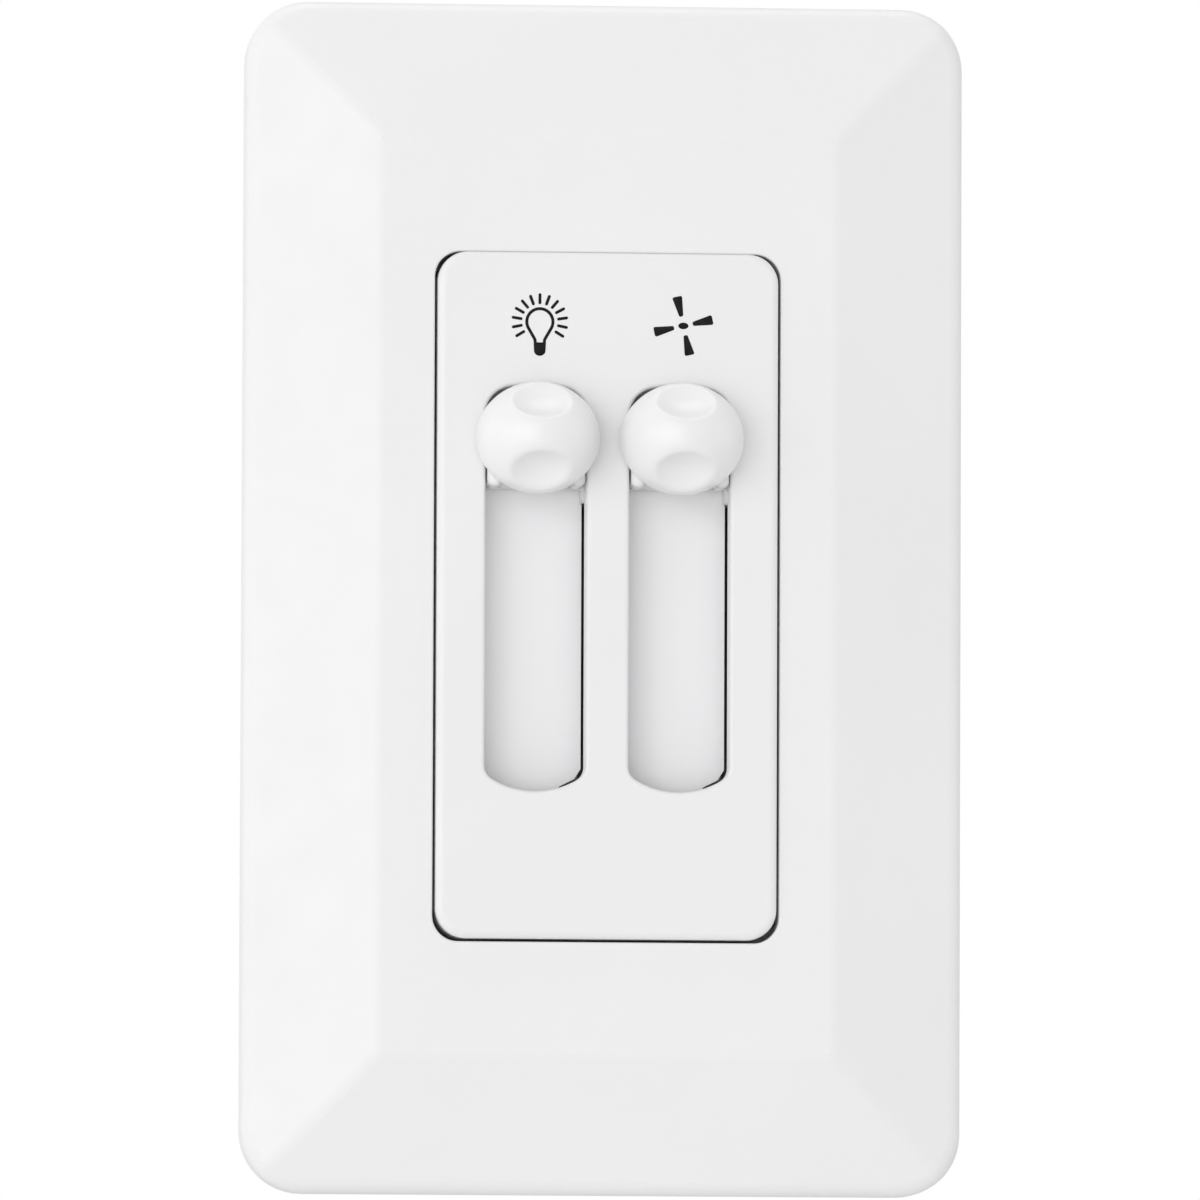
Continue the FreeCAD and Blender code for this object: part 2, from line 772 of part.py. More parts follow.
def slide_bed():
    """White bed that shows as the floor of both slots and guides the carriages between its rails."""
    width = bezel_width - 2 * (bezel_side_wall + bed_side_gap)
    height = bezel_height - 2 * (bezel_side_wall + bed_side_gap)
    body = prism(rounded_rectangle(width, height, bed_corner_radius), bed_floor, yoke_front)
    pocket_front = bed_floor + bed_plate_thickness
    half_w, half_h = width / 2, height / 2
    slit_half = slide_travel / 2 + arm_half_length + arm_slot_end_gap
    slit_low, slit_high = travel_middle - slit_half, travel_middle + slit_half
    room_w, room_h = half_w - bed_skirt, half_h - bed_skirt
    pocket = block(-room_w, room_w, pocket_front, yoke_front, -room_h, room_h)
    webs = []
    for x in (dimmer_x, fan_x):
        edge = x + slot_half_width - slit_reveal
        webs.append(block(edge - bed_skirt, edge, pocket_front, yoke_front, -room_h, room_h))
    body = body.cut(pocket.cut(Part.makeCompound(webs)))
    rail_spans = [
        (-half_w, dimmer_x - shoe_left - shoe_side_gap),
        (dimmer_x + slit_outer, fan_x - shoe_left - shoe_side_gap),
        (fan_x + slit_outer, half_w),
    ]
    rails = [
        block(x0, x1, bezel_back, bed_floor, slit_low, slit_high)
        for x0, x1 in rail_spans
    ]
    body = fuse_all([body] + rails)
    for x in (dimmer_x, fan_x):
        edge = x + slot_half_width - slit_reveal
        body = body.cut(block(edge, x + slit_outer, bezel_back, yoke_front, slit_low, slit_high))
        body = body.cut(slit_foot(edge, x + slit_outer, slit_low))
    for sx, sz in corners:
        body = body.cut(rod(boss_radius + bed_side_gap, sx * boss_x, sz * boss_z, bed_floor, yoke_front))
    return single(body.removeSplitter())


def slit_foot(edge, outer, bottom):
    """Cutter that bends a slit's lower end along the slot's bottom corner."""
    low = slot_height_offset - slot_half_length + slit_foot_lift
    points = [
        (outer, bottom),
        (outer, low + slit_foot_rise),
        (edge, low + slit_foot_rise),
        (edge - slit_foot_bend_side, low + slit_foot_bend_rise),
        (edge - slit_foot_reach, low),
        (edge - slit_foot_reach, bottom),
    ]
    corners_there = [V(px, 0, pz) for px, pz in points]
    return prism(Part.makePolygon(corners_there + corners_there[:1]), bezel_back, yoke_front)


def carriage_shoulder(x, z, front, back):
    """Block that fills the slot under the knob: rounded at the top, with two small feet at the bottom."""
    half = slot_half_width - shoulder_side_gap
    body = block(x - half, x + half, front, back, z - shoulder_bottom, z + shoulder_top)
    top = [e for e in through_edges(body, front, back) if e.BoundBox.ZMin > z]
    body = body.makeFillet(shoulder_top_radius, top)
    foot = z - shoulder_bottom + same_place
    feet = [e for e in through_edges(body, front, back) if e.BoundBox.ZMax < foot]
    body = body.makeFillet(shoulder_foot_radius, feet)
    arch = block(
        x - shoulder_arch_width / 2,
        x + shoulder_arch_width / 2,
        front,
        back,
        z - shoulder_bottom - shoulder_arch_height,
        z - shoulder_bottom + shoulder_arch_height,
    )
    crown = [e for e in through_edges(arch, front, back) if e.BoundBox.ZMin > z - shoulder_bottom]
    return body.cut(arch.makeFillet(shoulder_foot_radius, crown))


def through_edges(shape, front, back):
    """Edges that run along Y through the whole of a shape."""
    return [e for e in shape.Edges if e.BoundBox.YLength > back - front - same_place]


def carriage(x):
    """Slider under a knob: shoe in the channel, shoulder in the slot, post in the knob, arm at the right."""
    z = knob_height
    shoe_front, shoe_back = bezel_back + sliding_gap, bed_floor - sliding_gap
    shoe = block(x - shoe_left, x + arm_outer, shoe_front, shoe_back, z - shoulder_bottom, z + shoulder_top)
    low, high = z - arm_half_length, z + arm_half_length
    tail = block(x + slot_half_width - arm_tail_width, x + arm_outer, shoe_front, shoe_back, low, high)
    shoulder = carriage_shoulder(x, z, knob_back, shoe_back)
    post_w, post_h = post_width / 2, post_height / 2
    post = block(x - post_w, x + post_w, knob_back - post_length, knob_back, z - post_h, z + post_h)
    arm = block(x + arm_inner, x + arm_outer, shoe_front, arm_tip, low, high)
    notch_half = lever_width / 2 + lever_gap
    low, high = z - notch_half, z + notch_half
    notch = block(x + arm_inner, x + arm_outer, arm_tip - fork_depth, arm_tip, low, high)
    return single(fuse_all([shoe, tail, shoulder, post, arm]).cut(notch))


def knob(x):
    """Ball knob, slightly wider than tall, with a finger scoop above and below its middle."""
    centre = V(x, knob_centre, knob_height)
    body = egg_ball(knob_half_width, knob_radius, centre)
    keep = block(
        x - 2 * knob_half_width,
        x + 2 * knob_half_width,
        knob_back,
        knob_centre - 2 * knob_radius,
        knob_height - 2 * knob_radius,
        knob_height + 2 * knob_radius,
    )
    body = body.common(keep)
    reach = knob_radius - scoop_depth + scoop_radius
    angle = math.radians(scoop_angle)
    for s in (-1, 1):
        offset = V(0, -reach * math.cos(angle), s * reach * math.sin(angle))
        body = body.cut(egg_ball(scoop_half_width, scoop_radius, centre + offset))
    rims = [e for e in body.Edges if not e.Degenerated and on_scoop(e, centre, reach, angle)]
    rims = [e for e in rims if on_ball(e, centre)]
    body = body.makeFillet(scoop_rim_round, rims)
    body = body.makeFillet(knob_base_round, level_edges(body, knob_back))
    socket_w, socket_h = post_width / 2 + post_clearance, post_height / 2 + post_clearance
    socket = block(
        x - socket_w,
        x + socket_w,
        knob_back - post_length - post_clearance,
        knob_back,
        knob_height - socket_h,
        knob_height + socket_h,
    )
    return single(body.cut(socket))


def off_oval(point, half_width, radius):
    """How far a point lies off an oval ball round the origin, as a share of its size."""
    return abs(math.sqrt((point.x / half_width) ** 2 + (point.y**2 + point.z**2) / radius**2) - 1)


def edge_points(edge):
    first, last = edge.ParameterRange
    return [edge.valueAt(first + (last - first) * i / 4) for i in range(5)]


def on_ball(edge, centre):
    """True for an edge that follows the ball's outer surface."""
    return all(off_oval(p - centre, knob_half_width, knob_radius) < oval_match for p in edge_points(edge))


def on_scoop(edge, centre, reach, angle):
    """True for an edge that follows one of the two scoops."""
    for s in (-1, 1):
        scoop = centre + V(0, -reach * math.cos(angle), s * reach * math.sin(angle))
        if all(off_oval(p - scoop, scoop_half_width, scoop_radius) < oval_match for p in edge_points(edge)):
            return True
    return False


def mounting_yoke():
    """Pressed steel yoke with ears for the box screws, tapped holes for the cover, slots for the arms."""
    back = wall_plane
    body = prism(rounded_rectangle(yoke_body_width, yoke_body_height, yoke_corner_radius), yoke_front, back)
    neck = prism(rounded_rectangle(ear_neck_width, yoke_length - ear_end_height, 0), yoke_front, back)
    shapes = [body, neck]
    for sz in (-1, 1):
        z = sz * (yoke_length / 2 - ear_end_height / 2)
        ear = rounded_rectangle(ear_end_width, ear_end_height, yoke_corner_radius, 0, z)
        shapes.append(prism(ear, yoke_front, back))
        collar_z = sz * cover_screw_spacing / 2
        shapes.append(rod(tapped_collar_radius, 0, collar_z, yoke_front, back + tapped_collar_height))
    tab_z = -yoke_body_height / 2
    tab_x0, tab_x1 = ground_x - ground_tab_width / 2, ground_x + ground_tab_width / 2
    tab = block(tab_x0, tab_x1, yoke_front, ground_tab_depth, tab_z, tab_z + yoke_thickness)
    outer_side = [e for e in tab.Edges if abs(e.BoundBox.YMax - yoke_front) < same_place]
    bend = [e for e in outer_side if abs(e.BoundBox.ZMax - tab_z) < same_place]
    shapes.append(tab.makeFillet(ground_tab_bend, bend))
    body = body_without_corner(shapes, tab_x0, tab_x1, tab_z)
    slot_run = (box_slot_length - box_slot_width) / 2
    for sz in (-1, 1):
        z = sz * box_screw_spacing / 2
        oblong = [
            rod(box_slot_width / 2, -slot_run, z, yoke_front, back),
            rod(box_slot_width / 2, slot_run, z, yoke_front, back),
            block(-slot_run, slot_run, yoke_front, back, z - box_slot_width / 2, z + box_slot_width / 2),
        ]
        body = body.cut(fuse_all(oblong))
        hole_z, hole_back = sz * cover_screw_spacing / 2, back + tapped_collar_height
        body = body.cut(rod(machine_screw_radius + thread_clearance, 0, hole_z, yoke_front, hole_back))
        notch_z = sz * (yoke_length - ear_end_height) / 2
        for sx in (-1, 1):
            body = body.cut(rod(ear_notch_radius, sx * ear_end_width / 2, notch_z, yoke_front, back))
    run = slide_travel / 2 + arm_half_length + arm_slot_end_gap
    for x in (dimmer_x, fan_x):
        body = body.cut(
            block(
                x + arm_inner - arm_slot_side_gap,
                x + arm_outer + arm_slot_side_gap,
                yoke_front,
                back,
                travel_middle - run,
                travel_middle + run,
            )
        )
    screw_hole = case_screw_radius + case_screw_clearance
    for sx, sz in corners:
        body = body.cut(rod(screw_hole, sx * boss_x, sz * boss_z, yoke_front, back))
    body = body.cut(rod(sink_screw_radius + thread_clearance, triac_x, sink_screw_z, yoke_front, back))
    ground_hole = terminal_screw_radius + thread_clearance
    body = body.cut(pin(ground_hole, ground_x, ground_y, tab_z, yoke_thickness))
    return single(body.removeSplitter())


def body_without_corner(shapes, x0, x1, z):
    """Fuses the yoke's shapes after trimming the flat sheet where the tab's bend takes over."""
    trim = block(x0, x1, yoke_front, wall_plane, z, z + yoke_thickness)
    flat = shapes[0].cut(trim)
    return fuse_all([flat] + shapes[1:])


def ground_screw():
    """Green screw in the yoke's tab, its head below the tab."""
    tab_low = -yoke_body_height / 2
    face = tab_low - ground_head_height
    head = pin(ground_head_radius, ground_x, ground_y, face, ground_head_height)
    head = head.makeChamfer(chamfer_length, [e for e in head.Edges if e.BoundBox.ZMax < face + same_place])
    shank = pin(terminal_screw_radius, ground_x, ground_y, tab_low, yoke_thickness + ground_screw_end)
    half = ground_head_radius + cut_past
    slot = block(
        ground_x - half,
        ground_x + half,
        ground_y - driver_slot_width / 2,
        ground_y + driver_slot_width / 2,
        face,
        face + driver_slot_depth,
    )
    return single(fuse_all([head, shank]).cut(slot))


def insulating_sheet():
    """Fibre sheet that lines the yoke's back, slit for the levers and open for the triac."""
    half_w, half_h = inner_half_width - sheet_gap, inner_half_height - sheet_gap
    back = wall_plane + sheet_thickness
    body = prism(rounded_rectangle(2 * half_w, 2 * half_h, sheet_corner_radius), wall_plane, back)
    clear = column_radius + sheet_gap
    for sx, sz in corners:
        end_x, end_z = sx * (half_w + cut_past), sz * (half_h + cut_past)
        column = rod(clear, sx * boss_x, sz * boss_z, wall_plane, back)
        outside = block(sx * boss_x, end_x, wall_plane, back, sz * (boss_z - clear), end_z)
        above = block(sx * (boss_x - clear), end_x, wall_plane, back, sz * boss_z, end_z)
        body = body.cut(fuse_all([column, outside, above]))
    run = slide_travel / 2 + lever_width / 2 + arm_slot_end_gap
    for x in (dimmer_x, fan_x):
        lever_x = x + arm_middle
        slit_half = lever_thickness / 2 + arm_slot_side_gap
        left, right = lever_x - slit_half, lever_x + slit_half
        body = body.cut(block(left, right, wall_plane, back, travel_middle - run, travel_middle + run))
    window_half = triac_width / 2 + sheet_gap
    low = triac_z - triac_body_length / 2 - sheet_gap
    high = triac_z + triac_body_length / 2 + triac_tab_length + sheet_gap
    body = body.cut(block(triac_x - window_half, triac_x + window_half, wall_plane, back, low, high))
    return single(body.removeSplitter())


def terminal_places():
    """Side and height of each wiring terminal: one on the left wall and two on the right."""
    return [(-1, terminal_low), (1, terminal_low), (1, terminal_high)]


def rear_housing():
    """Open moulded box behind the yoke, with screw columns, board ledges and terminal pockets."""
    outline = rounded_rectangle(housing_width, housing_height, housing_corner_radius)
    body = prism(outline, wall_plane, housing_back)
    body = body.makeFillet(housing_back_round, level_edges(body, housing_back))
    inner_radius = housing_corner_radius - housing_wall
    inner = rounded_rectangle(2 * inner_half_width, 2 * inner_half_height, inner_radius)
    hollow = prism(inner, wall_plane, housing_inner_back)
    keep = [rod(column_radius, sx * boss_x, sz * boss_z, wall_plane, housing_back) for sx, sz in corners]
    for side, z in terminal_places():
        half = terminal_pocket_size / 2 + housing_wall
        keep.append(
            block(
                side * terminal_block_inner,
                side * housing_width / 2,
                terminal_depth - half,
                terminal_depth + half,
                z - half,
                z + half,
            )
        )
    for side in (-1, 1):
        for z in (-ledge_offset, ledge_offset):
            if not any(side == s and abs(z - t) < terminal_pocket_size for s, t in terminal_places()):
                keep.append(
                    block(
                        side * (inner_half_width - ledge_width),
                        side * housing_width / 2,
                        board_back,
                        housing_back,
                        z - ledge_thickness / 2,
                        z + ledge_thickness / 2,
                    )
                )
    body = body.cut(hollow.cut(Part.makeCompound(keep)))
    for side, z in terminal_places():
        half = terminal_pocket_size / 2
        front, back = terminal_depth - half, terminal_depth + half
        outside = side * (housing_width / 2 + cut_past)
        pocket = block(side * terminal_floor, outside, front, back, z - half, z + half)
        hole_end = side * (terminal_floor - terminal_screw_length + terminal_plate_thickness)
        hole_radius = terminal_screw_radius + thread_clearance
        hole = bar(hole_radius, hole_end, side * terminal_floor, terminal_depth, z)
        body = body.cut(pocket).cut(hole)
        body = body.cut(terminal_tail(side, z, thread_clearance))
    for sx, sz in corners:
        x, z = sx * boss_x, sz * boss_z
        seat = wall_plane + case_screw_grip
        body = body.cut(rod(counterbore_radius, x, z, seat, housing_back))
        body = body.cut(rod(case_screw_radius + case_screw_clearance, x, z, wall_plane, seat))
    return single(body.removeSplitter())


def terminal_tail(side, z, clearance):
    """Strip of a terminal plate that runs through the pocket's floor to the circuit board."""
    half = terminal_tail_width / 2 + clearance
    top = terminal_depth - terminal_plate_size / 2
    return block(
        side * (terminal_floor + terminal_plate_thickness),
        side * terminal_strip_outer,
        top - clearance,
        top + terminal_plate_thickness + clearance,
        z - half,
        z + half,
    )


def terminal_plates():
    """Brass wiring plates in the housing's pockets, each with a strip to the board."""
    plates = []
    half = terminal_plate_size / 2
    front, back = terminal_depth - half, terminal_depth + half
    for side, z in terminal_places():
        seat, face = side * terminal_floor, side * (terminal_floor + terminal_plate_thickness)
        plate = block(seat, face, front, back, z - half, z + half)
        hole = bar(terminal_screw_radius + thread_clearance, seat, face, terminal_depth, z)
        drop = block(
            side * terminal_strip_outer,
            side * terminal_strip_inner,
            board_back,
            front + terminal_plate_thickness,
            z - terminal_tail_width / 2,
            z + terminal_tail_width / 2,
        )
        plates.append(fuse_all([plate.cut(hole), terminal_tail(side, z, 0.0), drop]))
    return Part.makeCompound(plates)


def terminal_screws():
    """Wiring screws with broad heads, backed off a little from their plates."""
    screws = []
    seat = terminal_floor + terminal_plate_thickness
    tip = seat - terminal_screw_length + screw_end_gap
    for side, z in terminal_places():
        face = side * (seat + terminal_head_height)
        shank = bar(terminal_screw_radius, side * tip, side * seat, terminal_depth, z)
        head = bar(terminal_head_radius, side * seat, face, terminal_depth, z)
        rim = [e for e in head.Edges if side * (e.BoundBox.Center.x - face) > -same_place]
        head = head.makeChamfer(chamfer_length, rim)
        half = terminal_head_radius + cut_past
        slot = block(
            face,
            side * (seat + terminal_head_height - driver_slot_depth),
            terminal_depth - half,
            terminal_depth + half,
            z - driver_slot_width / 2,
            z + driver_slot_width / 2,
        )
        screws.append(fuse_all([shank, head]).cut(slot))
    return Part.makeCompound(screws)


def cross_recess(x, z, back):
    """Cross recess sunk into a screw head whose face is at a level."""
    long, short = recess_length / 2, recess_width / 2
    arms = [
        block(x - long, x + long, back - driver_slot_depth, back, z - short, z + short),
        block(x - short, x + short, back - driver_slot_depth, back, z - long, z + long),
    ]
    return fuse_all(arms)


def housing_screws():
    """Thread-forming screws that pull housing, yoke and bezel together from the back."""
    screws = []
    for sx, sz in corners:
        x, z = sx * boss_x, sz * boss_z
        seat = wall_plane + case_screw_grip
        back = seat + case_screw_head_height
        shank = rod(case_screw_radius, x, z, yoke_front - case_screw_bite, seat)
        head = rod(case_screw_head_radius, x, z, seat, back)
        head = head.makeChamfer(chamfer_length, level_edges(head, back))
        screws.append(fuse_all([shank, head]).cut(cross_recess(x, z, back)))
    return Part.makeCompound(screws)


def circuit_board():
    half_w, half_h = inner_half_width - board_gap, inner_half_height - board_gap
    body = prism(rounded_rectangle(2 * half_w, 2 * half_h, board_corner_radius), board_front, board_back)
    clear = column_radius + board_gap
    for sx, sz in corners:
        x0, x1 = sx * (boss_x - clear), sx * (half_w + cut_past)
        z0, z1 = sz * (boss_z - clear), sz * (half_h + cut_past)
        body = body.cut(block(x0, x1, board_front, board_back, z0, z1))
    pocket_half = terminal_pocket_size / 2 + housing_wall + board_gap
    for side, z in terminal_places():
        x0, x1 = side * (terminal_block_inner - board_gap), side * (half_w + cut_past)
        if terminal_depth - pocket_half < board_back:
            body = body.cut(block(x0, x1, board_front, board_back, z - pocket_half, z + pocket_half))
    return single(body.removeSplitter())


def slide_case(x, length, width):
    """Pressed steel case of a slide control, open at the back and slotted for its lever."""
    cx, cz = x + arm_middle, travel_middle
    back = slide_case_front + slide_case_height
    face_back = slide_case_front + slide_case_wall
    outline = rounded_rectangle(width, length, slide_case_corner_radius, cx, cz)
    inner = rounded_rectangle(width - 2 * slide_case_wall, length - 2 * slide_case_wall, 0, cx, cz)
    body = prism(outline, slide_case_front, back).cut(prism(inner, face_back, back))
    run = slide_travel / 2 + lever_width / 2 + arm_slot_end_gap
    slit_half = lever_thickness / 2 + slide_block_gap
    slit = block(cx - slit_half, cx + slit_half, slide_case_front, face_back, cz - run, cz + run)
    return single(body.cut(slit))


def slide_base(x, length, width, contacts):
    """Laminate base that closes a slide control's case, with its pins."""
    cx, cz = x + arm_middle, travel_middle
    front = slide_case_front + slide_case_height
    body = prism(rounded_rectangle(width, length, slide_case_corner_radius, cx, cz), front, board_front)
    first = cz - length / 2 + slide_contact_end_margin
    step = (length - 2 * slide_contact_end_margin) / (contacts - 1)
    x_contact = cx - width / 2 + slide_contact_inset
    pins = [
        rod(slide_contact_radius, x_contact, first + i * step, front - slide_contact_length, board_front)
        for i in range(contacts)
    ]
    return single(fuse_all([body] + pins))


def slide_lever(x, width):
    """Moving contact block of a slide control, with the lever that the carriage's fork holds."""
    cx, cz = x + arm_middle, knob_height
    block_front = slide_case_front + slide_case_wall + slide_block_gap
    block_back = block_front + slide_block_height
    half_w, half_l = width / 2 - slide_case_wall - slide_block_gap, slide_block_length / 2
    body = block(cx - half_w, cx + half_w, block_front, block_back, cz - half_l, cz + half_l)
    lever_front = arm_tip - fork_depth + lever_gap
    half_t, half_h = lever_thickness / 2, lever_width / 2
    lever = block(cx - half_t, cx + half_t, lever_front, block_front, cz - half_h, cz + half_h)
    return single(fuse_all([body, lever]))


def film_capacitor(x, z, width, height, depth):
    """Moulded box of a film capacitor standing on the board, with its vertical edges eased."""
    front = board_back
    body = prism(rounded_rectangle(width, height, capacitor_round, x, z), front, front + depth)
    return single(body.makeFillet(capacitor_round / 2, level_edges(body, front + depth)))


def choke_core():
    front = board_back + choke_wire + choke_wire_gap
    back = front + choke_core_height
    ring = rod(choke_core_radius, choke_x, choke_z, front, back)
    return single(ring.cut(rod(choke_hole_radius, choke_x, choke_z, front, back)))


def choke_winding():
    """Turns of the choke, each a square band round the ring's section."""
    front = board_back + choke_wire + choke_wire_gap
    gap, wire = choke_wire_gap, choke_wire
    inner, outer = choke_hole_radius - gap, choke_core_radius + gap
    low, high = front - gap, front + choke_core_height + gap
    turn = block(inner - wire, outer + wire, low - wire, high + wire, -wire / 2, wire / 2)
    turn = turn.cut(block(inner, outer, low, high, -wire, wire))
    turns = []
    for i in range(choke_turns):
        copy = turn.copy()
        copy.rotate(V(0, 0, 0), V(0, 1, 0), choke_start + choke_sweep * i / (choke_turns - 1))
        copy.translate(V(choke_x, 0, choke_z))
        turns.append(copy)
    return Part.makeCompound(turns)


def triac():
    """Power switch bolted flat on the yoke's back, its legs bent to the board."""
    left, right = triac_x - triac_width / 2, triac_x + triac_width / 2
    low, high = triac_z - triac_body_length / 2, triac_z + triac_body_length / 2
    tab_back = wall_plane + triac_tab_thickness
    tab = block(left, right, wall_plane, tab_back, high, high + triac_tab_length)
    tab = tab.cut(rod(sink_screw_radius + thread_clearance, triac_x, sink_screw_z, wall_plane, tab_back))
    package = block(left, right, wall_plane, wall_plane + triac_body_thickness, low, high)
    pieces = [tab, package]
    leg_front = wall_plane + (triac_body_thickness - triac_leg_thickness) / 2
    leg_end, half = low - triac_leg_length, triac_leg_width / 2
    for i in (-1, 0, 1):
        x = triac_x + i * triac_leg_pitch
        pieces.append(block(x - half, x + half, leg_front, leg_front + triac_leg_thickness, leg_end, low))
        pieces.append(
            block(x - half, x + half, leg_front, board_front, leg_end, leg_end + triac_leg_thickness)
        )
    return single(fuse_all(pieces))


def triac_screw():
    """Screw that clamps the triac's tab to the yoke, flush with the yoke's front."""
    seat = wall_plane + triac_tab_thickness
    back = seat + sink_screw_head_height
    shank = rod(sink_screw_radius, triac_x, sink_screw_z, yoke_front, seat)
    head = rod(sink_screw_head_radius, triac_x, sink_screw_z, seat, back)
    head = head.makeChamfer(chamfer_length, level_edges(head, back))
    return single(fuse_all([shank, head]).cut(cross_recess(triac_x, sink_screw_z, back)))


def axial_part(x, z, radius, length):
    """Small leaded part lying on the board, its leads bent down at both ends."""
    y = board_back + radius
    pieces = [bar(radius, x - length / 2, x + length / 2, y, z)]
    bend = min(lead_bend_radius, radius * lead_bend_share)
    half_turn = math.sqrt(0.5)
    for side in (-1, 1):
        start, turn = x + side * length / 2, x + side * (length / 2 + lead_reach)
        end_x = turn + side * bend
        middle = V(turn + side * bend * half_turn, y - bend * (1 - half_turn), z)
        path = Part.Wire(
            [
                Part.makeLine(V(start, y, z), V(turn, y, z)),
                Part.Arc(V(turn, y, z), middle, V(end_x, y - bend, z)).toShape(),
                Part.makeLine(V(end_x, y - bend, z), V(end_x, board_back, z)),
            ]
        )
        ring = Part.Wire(Part.makeCircle(resistor_leg_radius, V(start, y, z), V(side, 0, 0)))
        pieces.append(path.makePipeShell([ring], True, False))
    return fuse_all(pieces)


def resistors():
    heights = [resistor_low + i * resistor_pitch for i in range(resistor_rows)]
    return Part.makeCompound([axial_part(column_x, z, resistor_radius, resistor_length) for z in heights])


def diac():
    return single(axial_part(column_x, diac_z, diac_radius, diac_length))


def build():
    parts["cover_plate"] = cover_plate()
    parts["adapter_frame"] = adapter_frame()
    parts["adapter_screws"] = adapter_screws()
    parts["control_bezel"] = control_bezel()
    parts["slide_bed"] = slide_bed()
    parts["dimmer_knob"] = knob(dimmer_x)
    parts["dimmer_carriage"] = carriage(dimmer_x)
    parts["fan_knob"] = knob(fan_x)
    parts["fan_carriage"] = carriage(fan_x)
    parts["mounting_yoke"] = mounting_yoke()
    parts["box_screws"] = box_screws()
    parts["screw_retainers"] = screw_retainers()
    parts["ground_screw"] = ground_screw()
    parts["insulating_sheet"] = insulating_sheet()
    parts["rear_housing"] = rear_housing()
    parts["housing_screws"] = housing_screws()
    parts["terminal_plates"] = terminal_plates()
    parts["terminal_screws"] = terminal_screws()
    parts["circuit_board"] = circuit_board()
    parts["dimmer_slide_case"] = slide_case(dimmer_x, slide_case_length, slide_case_width)
    parts["dimmer_slide_base"] = slide_base(dimmer_x, slide_case_length, slide_case_width, dimmer_contacts)
    parts["dimmer_slide_lever"] = slide_lever(dimmer_x, slide_case_width)
    parts["fan_switch_case"] = slide_case(fan_x, slide_case_length, slide_case_width)
    parts["fan_switch_base"] = slide_base(fan_x, slide_case_length, slide_case_width, fan_contacts)
    parts["fan_switch_lever"] = slide_lever(fan_x, slide_case_width)
    parts["large_speed_capacitor"] = film_capacitor(
        large_capacitor_x,
        large_capacitor_z,
        large_capacitor_width,
        large_capacitor_height,
        large_capacitor_depth,
    )
    parts["small_speed_capacitor"] = film_capacitor(
        small_capacitor_x,
        small_capacitor_z,
        small_capacitor_width,
        small_capacitor_height,
        small_capacitor_depth,
    )
    parts["noise_capacitor"] = film_capacitor(
        noise_capacitor_x,
        noise_capacitor_z,
        noise_capacitor_width,
        noise_capacitor_height,
        noise_capacitor_depth,
    )
    parts["choke_core"] = choke_core()
    parts["choke_winding"] = choke_winding()
    parts["triac"] = triac()
    parts["triac_screw"] = triac_screw()
    parts["resistors"] = resistors()
    parts["diac"] = diac()


def export():
    os.makedirs("parts", exist_ok=True)
    for name, shape in parts.items():
        shape.exportStep(os.path.join("parts", name + ".step"))
        print(f"{name}: {len(shape.Solids)} solids, {shape.Volume:.1f} mm3, valid {shape.isValid()}")


build()
export()
print(f"slide travel {slide_travel:.2f} mm, knob rest height {knob_height:.2f} mm")
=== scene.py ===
"""Looks of a white wall control with two slides: moulded fronts, printed pictograms, plated steel and brass.

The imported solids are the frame. Lengths are in metres, X is to the right, Z is up and the front faces -Y.
"""

import json
import math

import bmesh
import bpy
from mathutils import Matrix, Vector


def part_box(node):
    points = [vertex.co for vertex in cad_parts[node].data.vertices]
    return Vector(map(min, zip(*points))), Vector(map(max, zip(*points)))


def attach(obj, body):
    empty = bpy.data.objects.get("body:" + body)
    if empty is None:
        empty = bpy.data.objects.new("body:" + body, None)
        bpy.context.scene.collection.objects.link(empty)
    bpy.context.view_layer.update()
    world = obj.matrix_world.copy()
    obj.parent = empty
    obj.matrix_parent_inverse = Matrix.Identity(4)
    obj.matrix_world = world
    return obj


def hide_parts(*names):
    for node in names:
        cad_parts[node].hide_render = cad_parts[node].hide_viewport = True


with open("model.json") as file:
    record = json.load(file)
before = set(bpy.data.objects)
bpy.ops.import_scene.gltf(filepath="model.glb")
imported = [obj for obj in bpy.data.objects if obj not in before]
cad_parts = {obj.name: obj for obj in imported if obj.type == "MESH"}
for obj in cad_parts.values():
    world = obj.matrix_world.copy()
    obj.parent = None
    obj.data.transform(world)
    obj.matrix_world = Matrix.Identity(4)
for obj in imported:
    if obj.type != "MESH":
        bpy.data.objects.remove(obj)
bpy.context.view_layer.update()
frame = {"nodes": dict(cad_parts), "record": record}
nodes = frame["nodes"]
mm = 0.001

# Camera
photo_width_px = 1200
photo_px_per_mm = 10.411
view_azimuth = -5.3
view_elevation = -3.9
view_roll = 0.22
view_distance = 1.5
aim_point = Vector((0.0, 0.0, 0.08)) * mm
sensor_width = 36.0
clip_near = 0.1
clip_far = 20.0

# Light
room_light = 0.58
backdrop_white = 1.0
floor_level = -0.40
floor_size = 6.0
floor_colour = (0.86, 0.86, 0.86, 1.0)
floor_roughness = 0.8
white = (1.0, 1.0, 1.0, 1.0)
softboxes = {
    "front_softbox": {"place": (-0.75, -2.06, 0.19), "size": 1.4, "watts": 13.5},
    "left_front_softbox": {"place": (-1.68, -1.41, 0.19), "size": 1.4, "watts": 7.5},
    "left_back_softbox": {"place": (-2.12, 0.57, 0.19), "size": 1.4, "watts": 5.0},
    "right_softbox": {"place": (2.16, -0.38, 0.19), "size": 1.4, "watts": 5.2},
    "top_softbox": {"place": (0.0, 0.15, 2.20), "size": 1.4, "watts": 12.0},
}

# Soft rims of the knobs' scoops
slider_edge_round = 0.9 * mm
bevel_samples = 8

